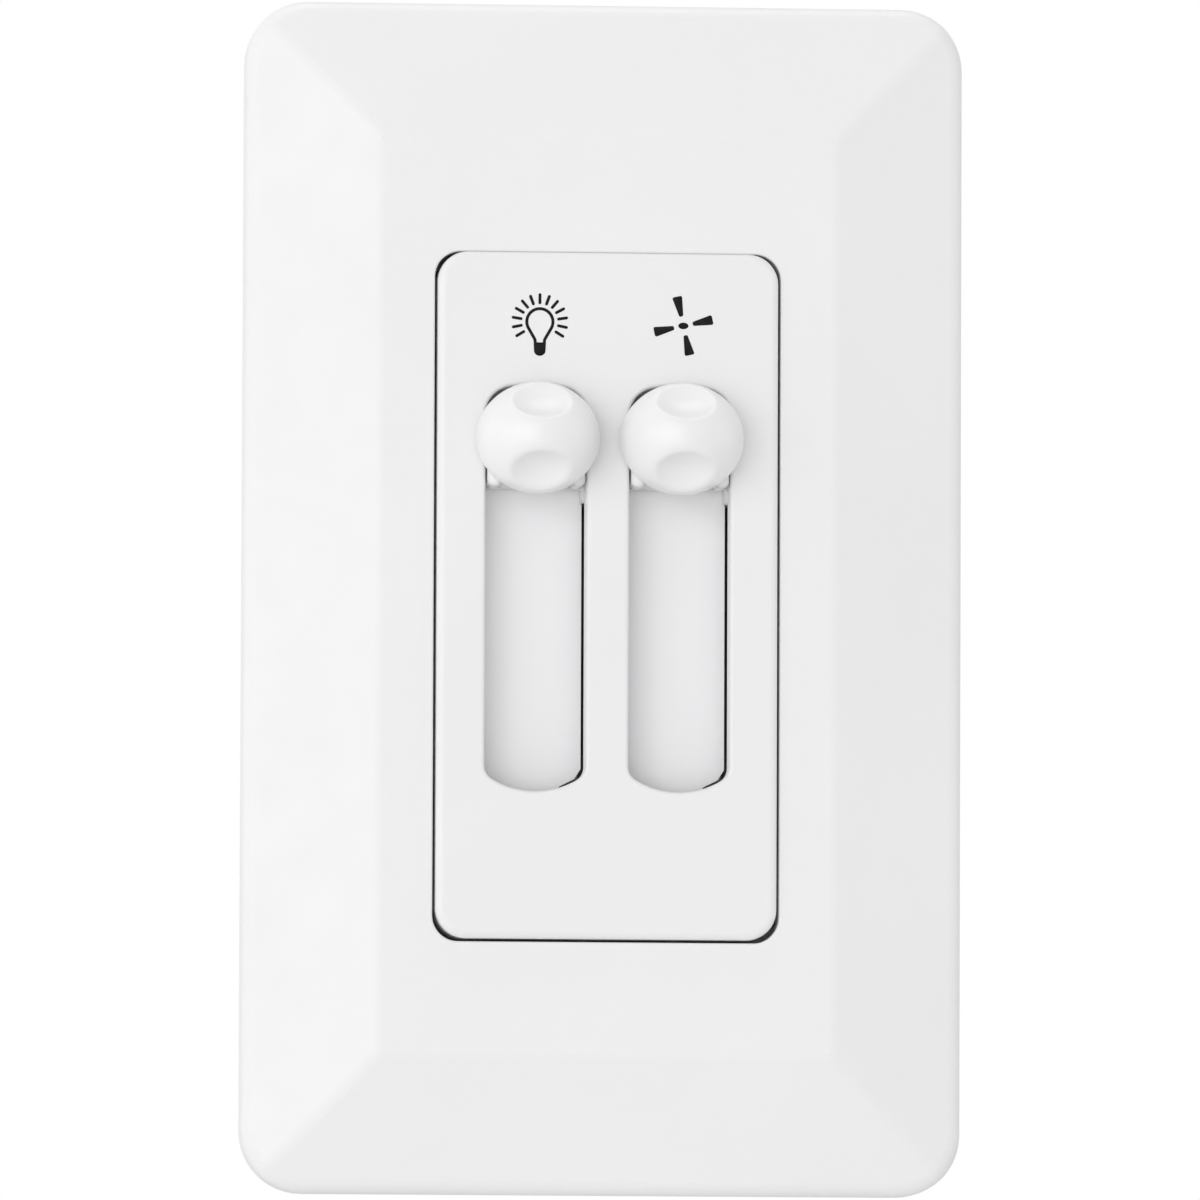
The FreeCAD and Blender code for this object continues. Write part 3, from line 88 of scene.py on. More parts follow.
# Surface effects: scales in waves to a metre, and the bands of a noise that show
fine_detail = 3.0
cloud_scale = 45.0
cloud_band = (0.35, 0.65)
gloss_patch_scale = 260.0
gloss_patch_band = (0.3, 0.7)
moulding_flow_scale = 320.0
moulding_flow_share = 0.8
spangle_share = 0.35
streak_stretch = (1.0, 1.0, 0.06)
streak_scale = 2600.0
streak_band = (0.35, 0.7)
streak_strength = 0.6
pit_scale = 1400.0
pit_share = 0.5
fibre_upright = (1.0, 1.0, 0.08)
fibre_level = (0.08, 1.0, 1.0)
fibre_colour_band = (0.9, 1.8)
fibre_gloss_band = (0.7, 1.3)
blotch_scale = 110.0
blotch_share = 0.7
ink_wear_scale = 1500.0
ink_wear_band = (0.35, 0.75)
ink_full = (0.012, 0.010, 0.011, 1.0)
ink_thin = (0.024, 0.020, 0.021, 1.0)
ink_roughness = 0.55
ink_shine = 0.04

# Printed pictograms, as real sizes on the bezel's face
ink_thickness = 0.02 * mm
cap_lift = ink_thickness / 4
bulb_centre = (-6.62 * mm, 26.14 * mm)
bulb_radius = 1.254 * mm
bulb_line = 0.29 * mm
bulb_side_angle = 30.0
bulb_neck_half = 0.44 * mm
bulb_neck_fillet = 0.6 * mm
bulb_base_top = -1.98 * mm
bulb_base_bend = -2.75 * mm
bulb_base_bottom = -3.27 * mm
bulb_base_half = 0.59 * mm
bulb_foot_share = 0.94
ray_count = 13
ray_step = 20.3
ray_inner = 1.68 * mm
ray_outer = 2.74 * mm
ray_line = 0.28 * mm
fan_centre = (7.17 * mm, 25.90 * mm)
fan_hub = (0.485 * mm, 0.315 * mm)
fan_tilt = 12.5
blade_inner = 0.92 * mm
blade_outer = 2.87 * mm
blade_inner_half = 0.19 * mm
blade_outer_half = 0.49 * mm
blade_corner = 0.1666 * mm
arc_steps = 8

# Screws with a thread and a driver slot
thread_pitch = 0.79 * mm
thread_depth = 0.38 * mm
thread_steps_round = 40
thread_steps_turn = 8
thread_run_out = 0.6
thread_crest = 1.25
shank_radius = 1.75 * mm
neck_radius = 1.45 * mm
thread_start = 0.45 * mm
tip_chamfer = 0.5 * mm
head_radius = 3.4 * mm
head_middle = 0.05 * mm
head_dome = 0.85 * mm
head_flat_share = 0.55
dome_steps = 5
sunk_head_edge = 0.05 * mm
sunk_head_depth = 1.2 * mm
sunk_neck_radius = 1.7 * mm
driver_slot_depth = 0.7 * mm
driver_slot_width = 0.9 * mm
driver_slot_length = 8.0 * mm
crease_angle = 35.0


def place_camera():
    """Camera a little left of and below the front, its frame as wide as the photograph at the object."""
    azimuth, elevation, roll = (math.radians(a) for a in (view_azimuth, view_elevation, view_roll))
    outward = Vector((math.sin(azimuth), -math.cos(azimuth), 0.0))
    back = outward * math.cos(elevation) + Vector((0.0, 0.0, math.sin(elevation)))
    level = Vector((math.cos(azimuth), math.sin(azimuth), 0.0))
    upward = back.cross(level)
    right = math.cos(roll) * level + math.sin(roll) * upward
    up = math.cos(roll) * upward - math.sin(roll) * level
    data = bpy.data.cameras.new("camera")
    data.sensor_width = sensor_width
    data.lens = sensor_width * view_distance / (photo_width_px / photo_px_per_mm * mm)
    data.clip_start = clip_near
    data.clip_end = clip_far
    camera = bpy.data.objects.new("camera", data)
    turn = Matrix((right, up, back)).transposed().to_4x4()
    camera.matrix_world = Matrix.Translation(aim_point + back * view_distance) @ turn
    bpy.context.scene.collection.objects.link(camera)
    bpy.context.scene.camera = camera


def place_softbox(name, place, size, watts):
    data = bpy.data.lights.new(name, "AREA")
    data.size = size
    data.energy = watts
    lamp = bpy.data.objects.new(name, data)
    lamp.location = place
    lamp.rotation_mode = "QUATERNION"
    lamp.rotation_quaternion = Vector(place).to_track_quat("Z", "Y")
    bpy.context.scene.collection.objects.link(lamp)


def background(tree, strength):
    node = tree.nodes.new("ShaderNodeBackground")
    node.inputs["Color"].default_value = white
    node.inputs["Strength"].default_value = strength
    return node


def light_room():
    """Even world light and softboxes. The camera and reflections see plain white past the object."""
    world = bpy.data.worlds.new("studio")
    bpy.context.scene.world = world
    world.use_nodes = True
    tree = world.node_tree
    tree.nodes.clear()
    path = tree.nodes.new("ShaderNodeLightPath")
    through = path.outputs["Is Camera Ray"]
    for ray in ("Is Glossy Ray", "Is Transmission Ray"):
        either = tree.nodes.new("ShaderNodeMath")
        either.operation = "MAXIMUM"
        tree.links.new(through, either.inputs[0])
        tree.links.new(path.outputs[ray], either.inputs[1])
        through = either.outputs[0]
    even, backdrop = (background(tree, strength) for strength in (room_light, backdrop_white))
    mix = tree.nodes.new("ShaderNodeMixShader")
    tree.links.new(through, mix.inputs[0])
    tree.links.new(even.outputs[0], mix.inputs[1])
    tree.links.new(backdrop.outputs[0], mix.inputs[2])
    output = tree.nodes.new("ShaderNodeOutputWorld")
    tree.links.new(mix.outputs[0], output.inputs["Surface"])
    for name, softbox in softboxes.items():
        place_softbox(name, **softbox)
    bpy.context.scene.view_settings.view_transform = "Standard"


def lay_floor():
    half = floor_size / 2
    corners = [(-half, -half), (half, -half), (half, half), (-half, half)]
    floor = mesh_object("floor", [(x, y, floor_level) for x, y in corners], [(0, 1, 2, 3)])
    material, tree, shader = new_material("pale floor")
    shader.inputs["Base Color"].default_value = floor_colour
    shader.inputs["Roughness"].default_value = floor_roughness
    floor.data.materials.append(material)


def mesh_object(name, vertices, faces):
    mesh = bpy.data.meshes.new(name)
    mesh.from_pydata([tuple(v) for v in vertices], [], faces)
    mesh.validate()
    mesh.update()
    made = bpy.data.objects.new(name, mesh)
    bpy.context.scene.collection.objects.link(made)
    return made


def new_material(name):
    """Material with a bare shader, its node tree and the shader."""
    material = bpy.data.materials.new(name)
    material.use_nodes = True
    tree = material.node_tree
    tree.nodes.clear()
    shader = tree.nodes.new("ShaderNodeBsdfPrincipled")
    output = tree.nodes.new("ShaderNodeOutputMaterial")
    tree.links.new(shader.outputs["BSDF"], output.inputs["Surface"])
    return material, tree, shader


def new_effect(name, inputs, outputs):
    """Empty shader node group with named inputs and outputs."""
    tree = bpy.data.node_groups.new(name, "ShaderNodeTree")
    for label, kind, value in inputs:
        socket = tree.interface.new_socket(name=label, in_out="INPUT", socket_type=kind)
        socket.default_value = value
    for label, kind in outputs:
        tree.interface.new_socket(name=label, in_out="OUTPUT", socket_type=kind)
    return tree, tree.nodes.new("NodeGroupInput"), tree.nodes.new("NodeGroupOutput")


COLOUR, NUMBER = "NodeSocketColor", "NodeSocketFloat"


def object_place(tree, stretch=(1.0, 1.0, 1.0)):
    """Place on the object, in metres, stretched along its axes."""
    place = tree.nodes.new("ShaderNodeTexCoord")
    mapping = tree.nodes.new("ShaderNodeMapping")
    mapping.inputs["Scale"].default_value = stretch
    tree.links.new(place.outputs["Object"], mapping.inputs["Vector"])
    return mapping.outputs["Vector"]


def noise(tree, place, scale, detail=2.0):
    texture = tree.nodes.new("ShaderNodeTexNoise")
    texture.inputs["Detail"].default_value = detail
    tree.links.new(place, texture.inputs["Vector"])
    feed(tree, scale, texture.inputs["Scale"])
    return texture.outputs["Fac"]


def feed(tree, value, socket):
    """Links a socket, or sets a plain number or colour."""
    if isinstance(value, bpy.types.NodeSocket):
        tree.links.new(value, socket)
    else:
        socket.default_value = value


def spread(tree, value, band, low, high):
    """Maps a band of a value onto the range from low to high."""
    node = tree.nodes.new("ShaderNodeMapRange")
    tree.links.new(value, node.inputs["Value"])
    node.inputs["From Min"].default_value, node.inputs["From Max"].default_value = band
    feed(tree, low, node.inputs["To Min"])
    feed(tree, high, node.inputs["To Max"])
    return node.outputs["Result"]


def mixed(tree, share, first, second):
    """Colour between two, by a share."""
    node = tree.nodes.new("ShaderNodeMix")
    node.data_type = "RGBA"
    feed(tree, share, node.inputs[0])
    feed(tree, first, node.inputs[6])
    feed(tree, second, node.inputs[7])
    return node.outputs[2]


def sum_of(tree, first, second, share=1.0):
    """First value plus a share of the second."""
    node = tree.nodes.new("ShaderNodeMath")
    node.operation = "MULTIPLY_ADD"
    tree.links.new(second, node.inputs[0])
    node.inputs[1].default_value = share
    tree.links.new(first, node.inputs[2])
    return node.outputs[0]


def make_moulded_skin():
    """Moulded plastic: faint clouds in its colour, a fine grain and a little unevenness in its gloss."""
    inputs = [
        ("Colour", COLOUR, (0.8, 0.8, 0.8, 1.0)),
        ("Cloud Colour", COLOUR, (0.78, 0.78, 0.78, 1.0)),
        ("Cloud Scale", NUMBER, cloud_scale),
        ("Grain Scale", NUMBER, 6000.0),
        ("Smoothest", NUMBER, 0.3),
        ("Roughest", NUMBER, 0.4),
    ]
    tree, given, result = new_effect(
        "moulded skin", inputs, [("Colour", COLOUR), ("Roughness", NUMBER), ("Height", NUMBER)]
    )
    place = object_place(tree)
    clouds = spread(tree, noise(tree, place, given.outputs["Cloud Scale"], fine_detail), cloud_band, 0.0, 1.0)
    colour = mixed(tree, clouds, given.outputs["Colour"], given.outputs["Cloud Colour"])
    patches = noise(tree, place, gloss_patch_scale, fine_detail)
    rough = spread(tree, patches, gloss_patch_band, given.outputs["Smoothest"], given.outputs["Roughest"])
    grain = noise(tree, place, given.outputs["Grain Scale"])
    flow = noise(tree, place, moulding_flow_scale, 1.0)
    tree.links.new(colour, result.inputs["Colour"])
    tree.links.new(rough, result.inputs["Roughness"])
    tree.links.new(sum_of(tree, grain, flow, moulding_flow_share), result.inputs["Height"])
    return tree


def make_plated_steel():
    """Plating on pressed or turned metal: soft spangles, drawn streaks and small pits."""
    inputs = [
        ("Colour", COLOUR, (0.7, 0.7, 0.7, 1.0)),
        ("Dull Colour", COLOUR, (0.55, 0.55, 0.56, 1.0)),
        ("Spangle Scale", NUMBER, 400.0),
        ("Smoothest", NUMBER, 0.25),
        ("Roughest", NUMBER, 0.45),
    ]
    tree, given, result = new_effect(
        "plated steel", inputs, [("Colour", COLOUR), ("Roughness", NUMBER), ("Height", NUMBER)]
    )
    place = object_place(tree)
    spangle = tree.nodes.new("ShaderNodeTexVoronoi")
    spangle.feature = "F1"
    tree.links.new(place, spangle.inputs["Vector"])
    tree.links.new(given.outputs["Spangle Scale"], spangle.inputs["Scale"])
    grey = tree.nodes.new("ShaderNodeSeparateColor")
    tree.links.new(spangle.outputs["Color"], grey.inputs["Color"])
    streaks = noise(tree, object_place(tree, streak_stretch), streak_scale)
    drawn = spread(tree, streaks, streak_band, 0.0, streak_strength)
    dull = sum_of(tree, drawn, grey.outputs["Red"], spangle_share)
    colour = mixed(tree, dull, given.outputs["Colour"], given.outputs["Dull Colour"])
    rough = spread(tree, dull, (0.0, 1.0), given.outputs["Smoothest"], given.outputs["Roughest"])
    tree.links.new(colour, result.inputs["Colour"])
    tree.links.new(rough, result.inputs["Roughness"])
    pits = noise(tree, place, pit_scale)
    tree.links.new(sum_of(tree, streaks, pits, pit_share), result.inputs["Height"])
    return tree


def make_pressed_sheet():
    """Paper, fibre or laminate: short fibres across two directions over a blotchy ground."""
    inputs = [
        ("Colour", COLOUR, (0.5, 0.4, 0.2, 1.0)),
        ("Fibre Colour", COLOUR, (0.6, 0.5, 0.3, 1.0)),
        ("Fibre Scale", NUMBER, 1800.0),
        ("Smoothest", NUMBER, 0.5),
        ("Roughest", NUMBER, 0.7),
    ]
    tree, given, result = new_effect(
        "pressed sheet", inputs, [("Colour", COLOUR), ("Roughness", NUMBER), ("Height", NUMBER)]
    )
    along = noise(tree, object_place(tree, fibre_upright), given.outputs["Fibre Scale"])
    across = noise(tree, object_place(tree, fibre_level), given.outputs["Fibre Scale"])
    fibres = sum_of(tree, along, across)
    blotches = noise(tree, object_place(tree), blotch_scale, fine_detail)
    share = spread(tree, sum_of(tree, fibres, blotches, blotch_share), fibre_colour_band, 0.0, 1.0)
    colour = mixed(tree, share, given.outputs["Colour"], given.outputs["Fibre Colour"])
    rough = spread(tree, fibres, fibre_gloss_band, given.outputs["Smoothest"], given.outputs["Roughest"])
    tree.links.new(colour, result.inputs["Colour"])
    tree.links.new(rough, result.inputs["Roughness"])
    tree.links.new(fibres, result.inputs["Height"])
    return tree


def finished(name, effect, values, relief, metallic=0.0, edge_round=0.0):
    """Material whose colour, roughness and relief come from one effect, with its edges' shading rounded."""
    material, tree, shader = new_material(name)
    group = tree.nodes.new("ShaderNodeGroup")
    group.node_tree = effect
    for label, value in values.items():
        group.inputs[label].default_value = value
    bump = tree.nodes.new("ShaderNodeBump")
    bump.inputs["Distance"].default_value = relief
    if edge_round:
        bevel = tree.nodes.new("ShaderNodeBevel")
        bevel.samples = bevel_samples
        bevel.inputs["Radius"].default_value = edge_round
        tree.links.new(bevel.outputs["Normal"], bump.inputs["Normal"])
    tree.links.new(group.outputs["Height"], bump.inputs["Height"])
    tree.links.new(group.outputs["Colour"], shader.inputs["Base Color"])
    tree.links.new(group.outputs["Roughness"], shader.inputs["Roughness"])
    tree.links.new(bump.outputs["Normal"], shader.inputs["Normal"])
    shader.inputs["Metallic"].default_value = metallic
    return material


def tone(red, green, blue, share=1.0):
    return (red * share, green * share, blue * share, 1.0)


moulded_skin = make_moulded_skin()
plated_steel = make_plated_steel()
pressed_sheet = make_pressed_sheet()


def plastic(
    name, colour, cloud=0.985, smoothest=0.30, roughest=0.38, grain=6000.0, relief=0.004 * mm, edge_round=0.0
):
    values = {
        "Colour": tone(*colour),
        "Cloud Colour": tone(*colour, cloud),
        "Grain Scale": grain,
        "Smoothest": smoothest,
        "Roughest": roughest,
    }
    return finished(name, moulded_skin, values, relief, edge_round=edge_round)


def metal(name, colour, dull=0.82, spangle=400.0, smoothest=0.22, roughest=0.42, relief=0.003 * mm):
    values = {
        "Colour": tone(*colour),
        "Dull Colour": tone(*colour, dull),
        "Spangle Scale": spangle,
        "Smoothest": smoothest,
        "Roughest": roughest,
    }
    return finished(name, plated_steel, values, relief, metallic=1.0)


def sheet(name, colour, fibre=1.15, scale=1800.0, smoothest=0.5, roughest=0.7, relief=0.006 * mm):
    values = {
        "Colour": tone(*colour),
        "Fibre Colour": tone(*colour, fibre),
        "Fibre Scale": scale,
        "Smoothest": smoothest,
        "Roughest": roughest,
    }
    return finished(name, pressed_sheet, values, relief)


def make_finishes():
    """One material for each material slot of the record."""
    return {
        "cover_white": plastic(
            "satin white cover", (0.84, 0.84, 0.84), cloud=0.985, smoothest=0.40, roughest=0.50
        ),
        "adapter_white": plastic(
            "plain white adapter", (0.80, 0.80, 0.79), cloud=0.97, smoothest=0.5, roughest=0.6
        ),
        "adapter_screw_white": plastic(
            "white painted screws", (0.82, 0.82, 0.81), cloud=0.96, smoothest=0.3, roughest=0.4
        ),
        "bezel_white": plastic(
            "satin white bezel", (0.83, 0.83, 0.835), cloud=0.985, smoothest=0.40, roughest=0.50
        ),
        # The slide bed is whiter than the bezel's same plastic: painted light on the slots' floors, lifting
        # the shade that falls there.
        "bed_white": plastic(
            "slide bed whitened as painted light", (0.89, 0.89, 0.90), cloud=0.985, smoothest=0.40, roughest=0.50
        ),
        "slider_white": plastic(
            "gloss white sliders", (0.845, 0.845, 0.845), cloud=0.99, smoothest=0.28, roughest=0.36,
            edge_round=slider_edge_round,
        ),
        # The yoke's steel is much darker than plain zinc plating: painted shade for the gaps at the bezel's
        # corners, where the yoke shows through.
        "yoke_steel": metal(
            "yoke darkened as painted shade", (0.25, 0.215, 0.205), dull=0.7, spangle=400.0, smoothest=0.34, roughest=0.5
        ),
        "screw_steel": metal(
            "zinc plated screws", (0.74, 0.74, 0.75), dull=0.85, spangle=900.0, smoothest=0.2, roughest=0.34
        ),
        "retainer_fibre": sheet("fibre retainers", (0.40, 0.20, 0.12)),
        "ground_green": plastic(
            "green ground screw", (0.05, 0.28, 0.11), cloud=0.85, smoothest=0.25, roughest=0.4
        ),
        "sheet_fibre": sheet("dark fibre sheet", (0.06, 0.06, 0.07), fibre=1.5),
        "housing_grey": plastic(
            "dark grained housing", (0.035, 0.036, 0.040), cloud=1.25, smoothest=0.42, roughest=0.56,
            grain=3200.0, relief=0.02 * mm,
        ),
        "terminal_brass": metal(
            "punched brass", (0.82, 0.62, 0.30), dull=0.8, spangle=700.0, smoothest=0.22, roughest=0.4
        ),
        "board_laminate": sheet("paper laminate board", (0.40, 0.27, 0.10), fibre=1.3),
        "case_steel": metal(
            "tinned case steel", (0.76, 0.76, 0.75), dull=0.86, spangle=300.0, smoothest=0.25, roughest=0.4
        ),
        "base_laminate": sheet("brown laminate bases", (0.22, 0.11, 0.05), fibre=1.35),
        "lever_black": plastic(
            "black moulded levers", (0.02, 0.02, 0.022), cloud=1.3, smoothest=0.35, roughest=0.5
        ),
        "capacitor_yellow": plastic(
            "yellow moulded capacitors", (0.72, 0.46, 0.04), cloud=0.92, smoothest=0.28, roughest=0.4
        ),
        "capacitor_blue": plastic(
            "blue moulded capacitor", (0.03, 0.10, 0.32), cloud=0.85, smoothest=0.28, roughest=0.4
        ),
        "core_cream": plastic(
            "coated powder core", (0.66, 0.60, 0.34), cloud=0.88, smoothest=0.45, roughest=0.6,
            grain=2500.0, relief=0.02 * mm,
        ),
        "winding_copper": metal(
            "enamelled copper", (0.78, 0.32, 0.14), dull=0.75, spangle=500.0, smoothest=0.15, roughest=0.28
        ),
        "epoxy_black": plastic(
            "black epoxy", (0.018, 0.018, 0.02), cloud=1.4, smoothest=0.5, roughest=0.65,
            grain=3500.0, relief=0.012 * mm,
        ),
        "resistor_tan": plastic(
            "lacquered resistors", (0.60, 0.38, 0.18), cloud=0.9, smoothest=0.3, roughest=0.42
        ),
        "diac_blue": plastic(
            "lacquered diac", (0.03, 0.09, 0.30), cloud=0.85, smoothest=0.25, roughest=0.35
        ),
    }


def dress_nodes(finishes):
    for row in frame["record"]["subparts"]:
        mesh = nodes[row["node"]].data
        mesh.materials.clear()
        mesh.materials.append(finishes[row["material_slot"]])


def make_ink():
    """Black print, a little thin in places."""
    material, tree, shader = new_material("black print")
    wear = noise(tree, object_place(tree), ink_wear_scale, fine_detail)
    colour = mixed(tree, spread(tree, wear, ink_wear_band, 0.0, 1.0), ink_full, ink_thin)
    tree.links.new(colour, shader.inputs["Base Color"])
    shader.inputs["Roughness"].default_value = ink_roughness
    shader.inputs["Specular IOR Level"].default_value = ink_shine
    return material


def arc(centre, radius_x, radius_z, first, last, steps=arc_steps):
    """Points along an arc, in degrees from the X axis."""
    points = []
    for i in range(steps + 1):
        angle = math.radians(first + (last - first) * i / steps)
        points.append((centre[0] + radius_x * math.cos(angle), centre[1] + radius_z * math.sin(angle)))
    return points


def round_corners(corners, radius):
    """Closed outline through corners, each replaced by an arc of one radius."""
    points = []
    count = len(corners)
    for i, corner in enumerate(corners):
        here = Vector(corner)
        before = (Vector(corners[i - 1]) - here).normalized()
        after = (Vector(corners[(i + 1) % count]) - here).normalized()
        half = math.acos(max(-1.0, min(1.0, before.dot(after)))) / 2
        centre = here + (before + after).normalized() * (radius / math.sin(half))
        start = here + before * (radius / math.tan(half)) - centre
        end = here + after * (radius / math.tan(half)) - centre
        turn = start.angle_signed(end)
        for k in range(arc_steps + 1):
            spoke = Matrix.Rotation(-turn * k / arc_steps, 2) @ start
            points.append(tuple(centre + spoke))
    return points


def ink_faces(mesh, outline, front, back):
    """Flat patch of print with its thin edge."""
    rim_front = [mesh.verts.new((x, front, z)) for x, z in outline]
    rim_back = [mesh.verts.new((x, back, z)) for x, z in outline]
    mesh.faces.new(rim_front)
    for i in range(len(outline)):
        j = (i + 1) % len(outline)
        mesh.faces.new((rim_front[i], rim_back[i], rim_back[j], rim_front[j]))


def ink_strip(mesh, outer, inner, front, back):
    """Open band of print between two lines with as many points."""
    lines = [[mesh.verts.new((x, y, z)) for x, z in line] for y in (front, back) for line in (outer, inner)]
    outer_front, inner_front, outer_back, inner_back = lines
    for i in range(len(outer) - 1):
        mesh.faces.new((outer_front[i], outer_front[i + 1], inner_front[i + 1], inner_front[i]))
        mesh.faces.new((outer_front[i], outer_back[i], outer_back[i + 1], outer_front[i + 1]))
        mesh.faces.new((inner_front[i], inner_front[i + 1], inner_back[i + 1], inner_back[i]))


def ray_outline(angle):
    """Round-ended stroke that points away from the globe."""
    half = ray_line / 2
    points = arc((ray_outer - half, 0.0), half, half, -90.0, 90.0)
    points += arc((ray_inner + half, 0.0), half, half, 90.0, 270.0)
    c, s = math.cos(angle), math.sin(angle)
    return [(bulb_centre[0] + x * c - z * s, bulb_centre[1] + x * s + z * c) for x, z in points]


def bulb_line_points(offset):
    """Line of the bulb's glass, offset outwards, from the left of the neck round the globe to its right."""
    lean = math.radians(bulb_side_angle)
    radius = bulb_radius + offset
    neck = bulb_neck_half + offset
    leave = (radius * math.cos(lean), -radius * math.sin(lean))
    fall = (leave[0] - neck) / math.tan(lean)
    corner_z = leave[1] - fall
    fillet = bulb_neck_fillet - offset
    shift = fillet * math.tan(lean / 2)
    centre = (neck + fillet, corner_z - shift)
    side = arc(centre, fillet, fillet, 180.0, 180.0 - bulb_side_angle)
    globe = arc((0.0, 0.0), radius, radius, -bulb_side_angle, 90.0, 4 * arc_steps)
    right = [(neck, bulb_base_top)] + side + globe
    left = [(-x, z) for x, z in reversed(right[:-1])]
    return [(bulb_centre[0] + x, bulb_centre[1] + z) for x, z in right + left]


def print_bulb(ink):
    """Lamp pictogram: globe outline, filled cap and rays."""
    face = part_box("control_bezel")[0].y
    front, back = face - ink_thickness, face + ink_thickness
    mesh = bmesh.new()
    for i in range(ray_count):
        angle = math.radians(90.0 + (i - (ray_count - 1) / 2) * ray_step)
        ink_faces(mesh, ray_outline(angle), front, back)
    half = bulb_line / 2
    ink_strip(mesh, bulb_line_points(half), bulb_line_points(-half), front, back)
    x0, z0 = bulb_centre
    bend = bulb_base_bend - bulb_base_bottom
    foot = arc((x0, z0 + bulb_base_bend), bulb_base_half * bulb_foot_share, bend, 180.0, 360.0, 3 * arc_steps)
    cap = [(x0 - bulb_base_half, z0 + bulb_base_top)] + foot + [(x0 + bulb_base_half, z0 + bulb_base_top)]
    ink_faces(mesh, cap, front - cap_lift, back)
    finish_print(mesh, "bulb_pictogram", ink)


def blade_outline(angle):
    """Tapered blade with round corners, turned about the fan's centre."""
    corners = [
        (blade_inner, -blade_inner_half),
        (blade_outer, -blade_outer_half),
        (blade_outer, blade_outer_half),
        (blade_inner, blade_inner_half),
    ]
    c, s = math.cos(angle), math.sin(angle)
    points = round_corners(corners, blade_corner)
    return [(fan_centre[0] + x * c - z * s, fan_centre[1] + x * s + z * c) for x, z in points]


def print_fan(ink):
    """Fan pictogram: an oval hub and four tapered blades."""
    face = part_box("control_bezel")[0].y
    front, back = face - ink_thickness, face + ink_thickness
    mesh = bmesh.new()
    ink_faces(mesh, arc(fan_centre, *fan_hub, 0.0, 360.0, 5 * arc_steps)[:-1], front, back)
    for quarter in range(4):
        ink_faces(mesh, blade_outline(math.radians(fan_tilt + 90.0 * quarter)), front, back)
    finish_print(mesh, "fan_pictogram", ink)


def finish_print(mesh, name, ink):
    """Named piece of print that stays on the frame."""
    bmesh.ops.recalc_face_normals(mesh, faces=mesh.faces)
    data = bpy.data.meshes.new(name)
    mesh.to_mesh(data)
    mesh.free()
    made = bpy.data.objects.new(name, data)
    bpy.context.scene.collection.objects.link(made)
    data.materials.append(ink)
    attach(made, "frame")


def thread_radius(along, angle, start, end):
    """Radius of a thread at a place along and round it, running out at both ends."""
    phase = (along / thread_pitch - angle / (2 * math.pi)) % 1.0
    ridge = 1.0 - abs(2.0 * phase - 1.0)
    ease = min(
        1.0,
        max(0.0, (along - start) / thread_pitch),
        max(0.0, (end - along) / (thread_run_out * thread_pitch)),
    )
    return shank_radius - thread_depth * (1.0 - min(1.0, ridge * thread_crest)) - (1.0 - ease) * thread_depth


def turned_screw(profile, start, end):
    """Vertices and faces of a screw along Y: a turned head and neck, then a thread and a flat tip."""
    rows = [(y, False, r) for y, r in profile]
    count = int((end - start) / thread_pitch * thread_steps_turn)
    rows += [(start + (end - start) * i / count, True, shank_radius) for i in range(1, count + 1)]
    vertices, faces = [], []
    steps = thread_steps_round
    for y, threaded, radius in rows:
        for k in range(steps):
            angle = 2 * math.pi * k / steps
            if threaded:
                radius = thread_radius(y, angle, start, end)
            if threaded and end - y < tip_chamfer:
                radius = min(radius, shank_radius - tip_chamfer + (end - y))
            vertices.append((radius * math.cos(angle), y, radius * math.sin(angle)))
    for i in range(len(rows) - 1):
        for k in range(steps):
            j = (k + 1) % steps
            faces.append((i * steps + k, i * steps + j, (i + 1) * steps + j, (i + 1) * steps + k))
    last = (len(rows) - 1) * steps
    faces.append(tuple(reversed(range(steps))))
    faces.append(tuple(last + k for k in range(steps)))
    return vertices, faces


def cut_slot(screw, y):
    """Cuts a driver slot across the head whose face is at y."""
    half_w, half_l = driver_slot_width / 2, driver_slot_length / 2
    levels = (y - driver_slot_depth, y + driver_slot_depth)
    base = ((-half_l, -half_w), (half_l, -half_w), (half_l, half_w), (-half_l, half_w))
    points = [(x, level, z) for level in levels for x, z in base]
    sides = [(0, 1, 2, 3), (7, 6, 5, 4), (0, 4, 5, 1), (1, 5, 6, 2), (2, 6, 7, 3), (3, 7, 4, 0)]
    cutter = mesh_object("slot_cutter", points, sides)
    orient(cutter.data)
    boolean = screw.modifiers.new("slot", "BOOLEAN")
    boolean.object = cutter
    boolean.operation = "DIFFERENCE"
    boolean.solver = "EXACT"
    apply_modifiers(screw)
    bpy.data.objects.remove(cutter)


def orient(mesh):
    """Turns all faces of a closed mesh outwards."""
    shape = bmesh.new()
    shape.from_mesh(mesh)
    bmesh.ops.recalc_face_normals(shape, faces=shape.faces)
    shape.to_mesh(mesh)
    shape.free()


def apply_modifiers(made):
    bpy.context.view_layer.update()
    final = bpy.data.meshes.new_from_object(made.evaluated_get(bpy.context.evaluated_depsgraph_get()))
    made.modifiers.clear()
    made.data = final


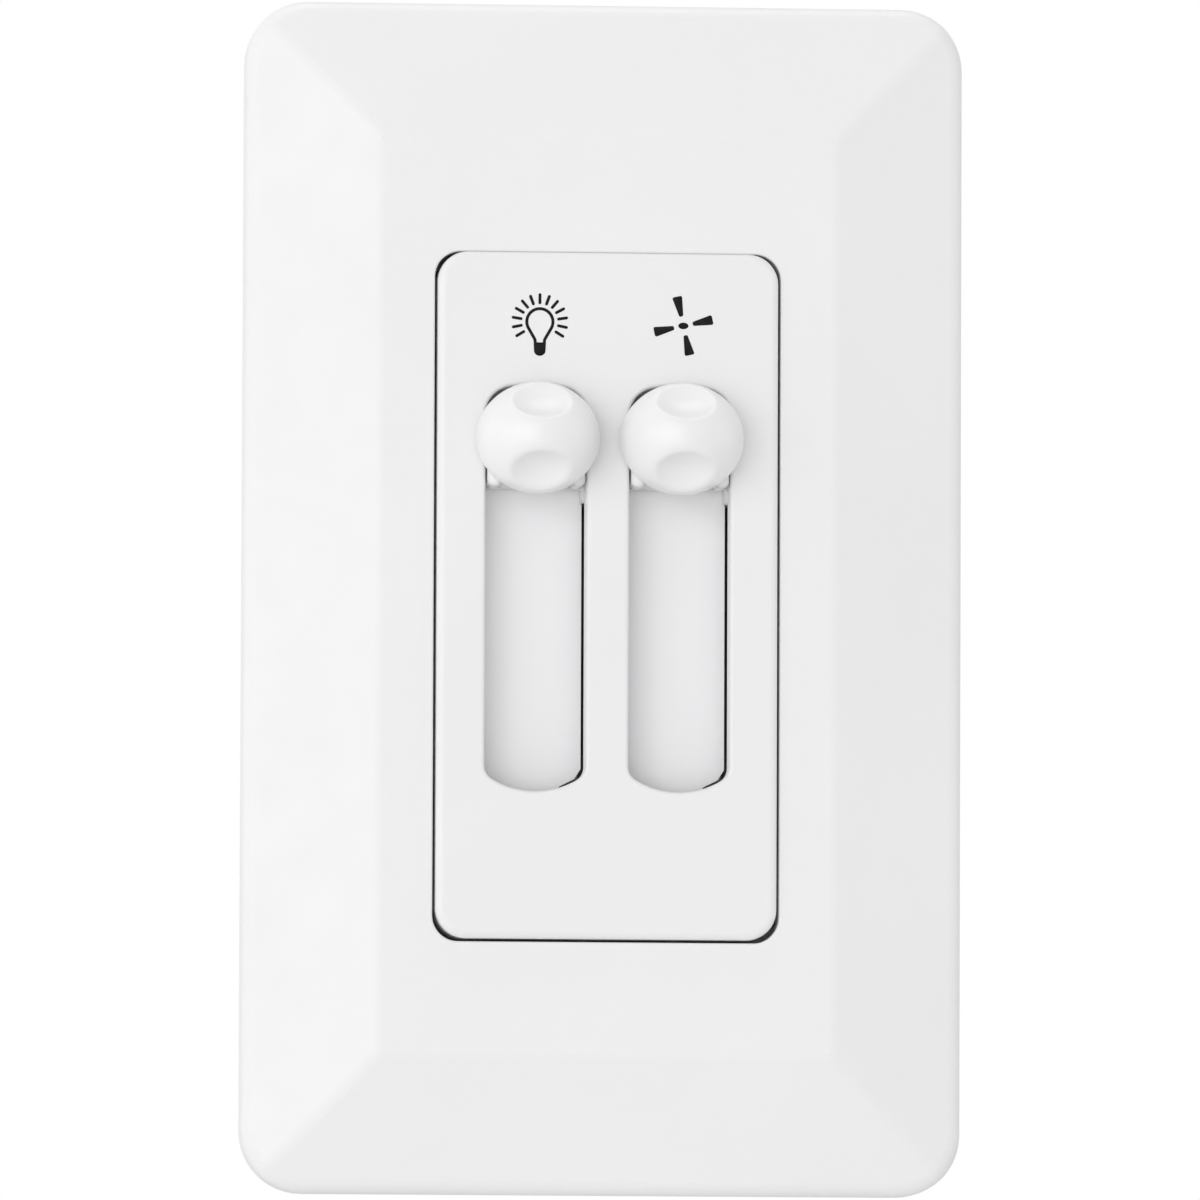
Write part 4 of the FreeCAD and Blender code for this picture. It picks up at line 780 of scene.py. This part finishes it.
def place_screws(name, profile, run, spacing, node, finish):
    """Two screws above and below the middle, threaded over a run along Y, in place of a node's plain ones."""
    vertices, faces = turned_screw(profile, *run)
    screw = mesh_object(name + "_one", vertices, faces)
    orient(screw.data)
    cut_slot(screw, profile[0][0])
    both = bmesh.new()
    for sign in (-1, 1):
        copy = screw.data.copy()
        copy.transform(Matrix.Translation((0.0, 0.0, sign * spacing / 2)))
        both.from_mesh(copy)
        bpy.data.meshes.remove(copy)
    data = bpy.data.meshes.new(name)
    both.to_mesh(data)
    both.free()
    bpy.data.objects.remove(screw)
    made = bpy.data.objects.new(name, data)
    bpy.context.scene.collection.objects.link(made)
    data.materials.append(finish)
    data.shade_smooth()
    data.set_sharp_from_angle(angle=math.radians(crease_angle))
    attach(made, "frame")
    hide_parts(node)
    return made


def make_screws(finishes):
    """Threaded box screws and adapter screws, sized from the nodes that they replace."""
    yoke_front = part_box("mounting_yoke")[0].y
    low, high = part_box("box_screws")
    spacing = high.z - low.z - (high.x - low.x)
    profile = [(low.y, head_middle), (low.y, head_radius * head_flat_share)]
    for i in range(1, dome_steps + 1):
        angle = math.pi / 2 * i / dome_steps
        fall = head_dome * (1 - math.cos(angle))
        profile.append((low.y + fall, head_radius - head_dome * (1 - math.sin(angle))))
    profile += [(yoke_front, head_radius), (yoke_front, neck_radius), (thread_start, neck_radius)]
    name, run = "box_screws_threaded", (thread_start, high.y)
    made = place_screws(name, profile, run, spacing, "box_screws", finishes["screw_steel"])
    low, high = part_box("adapter_screws")
    spacing = high.z - low.z - (high.x - low.x)
    profile = [
        (low.y, head_middle),
        (low.y, head_radius - sunk_head_edge),
        (low.y + sunk_head_edge, head_radius),
        (low.y + sunk_head_depth, shank_radius),
        (yoke_front, sunk_neck_radius),
    ]
    name, run = "adapter_screws_threaded", (yoke_front, high.y)
    made = place_screws(name, profile, run, spacing, "adapter_screws", finishes["adapter_screw_white"])


place_camera()
light_room()
lay_floor()
finishes = make_finishes()
dress_nodes(finishes)
ink = make_ink()
print_bulb(ink)
print_fan(ink)
make_screws(finishes)
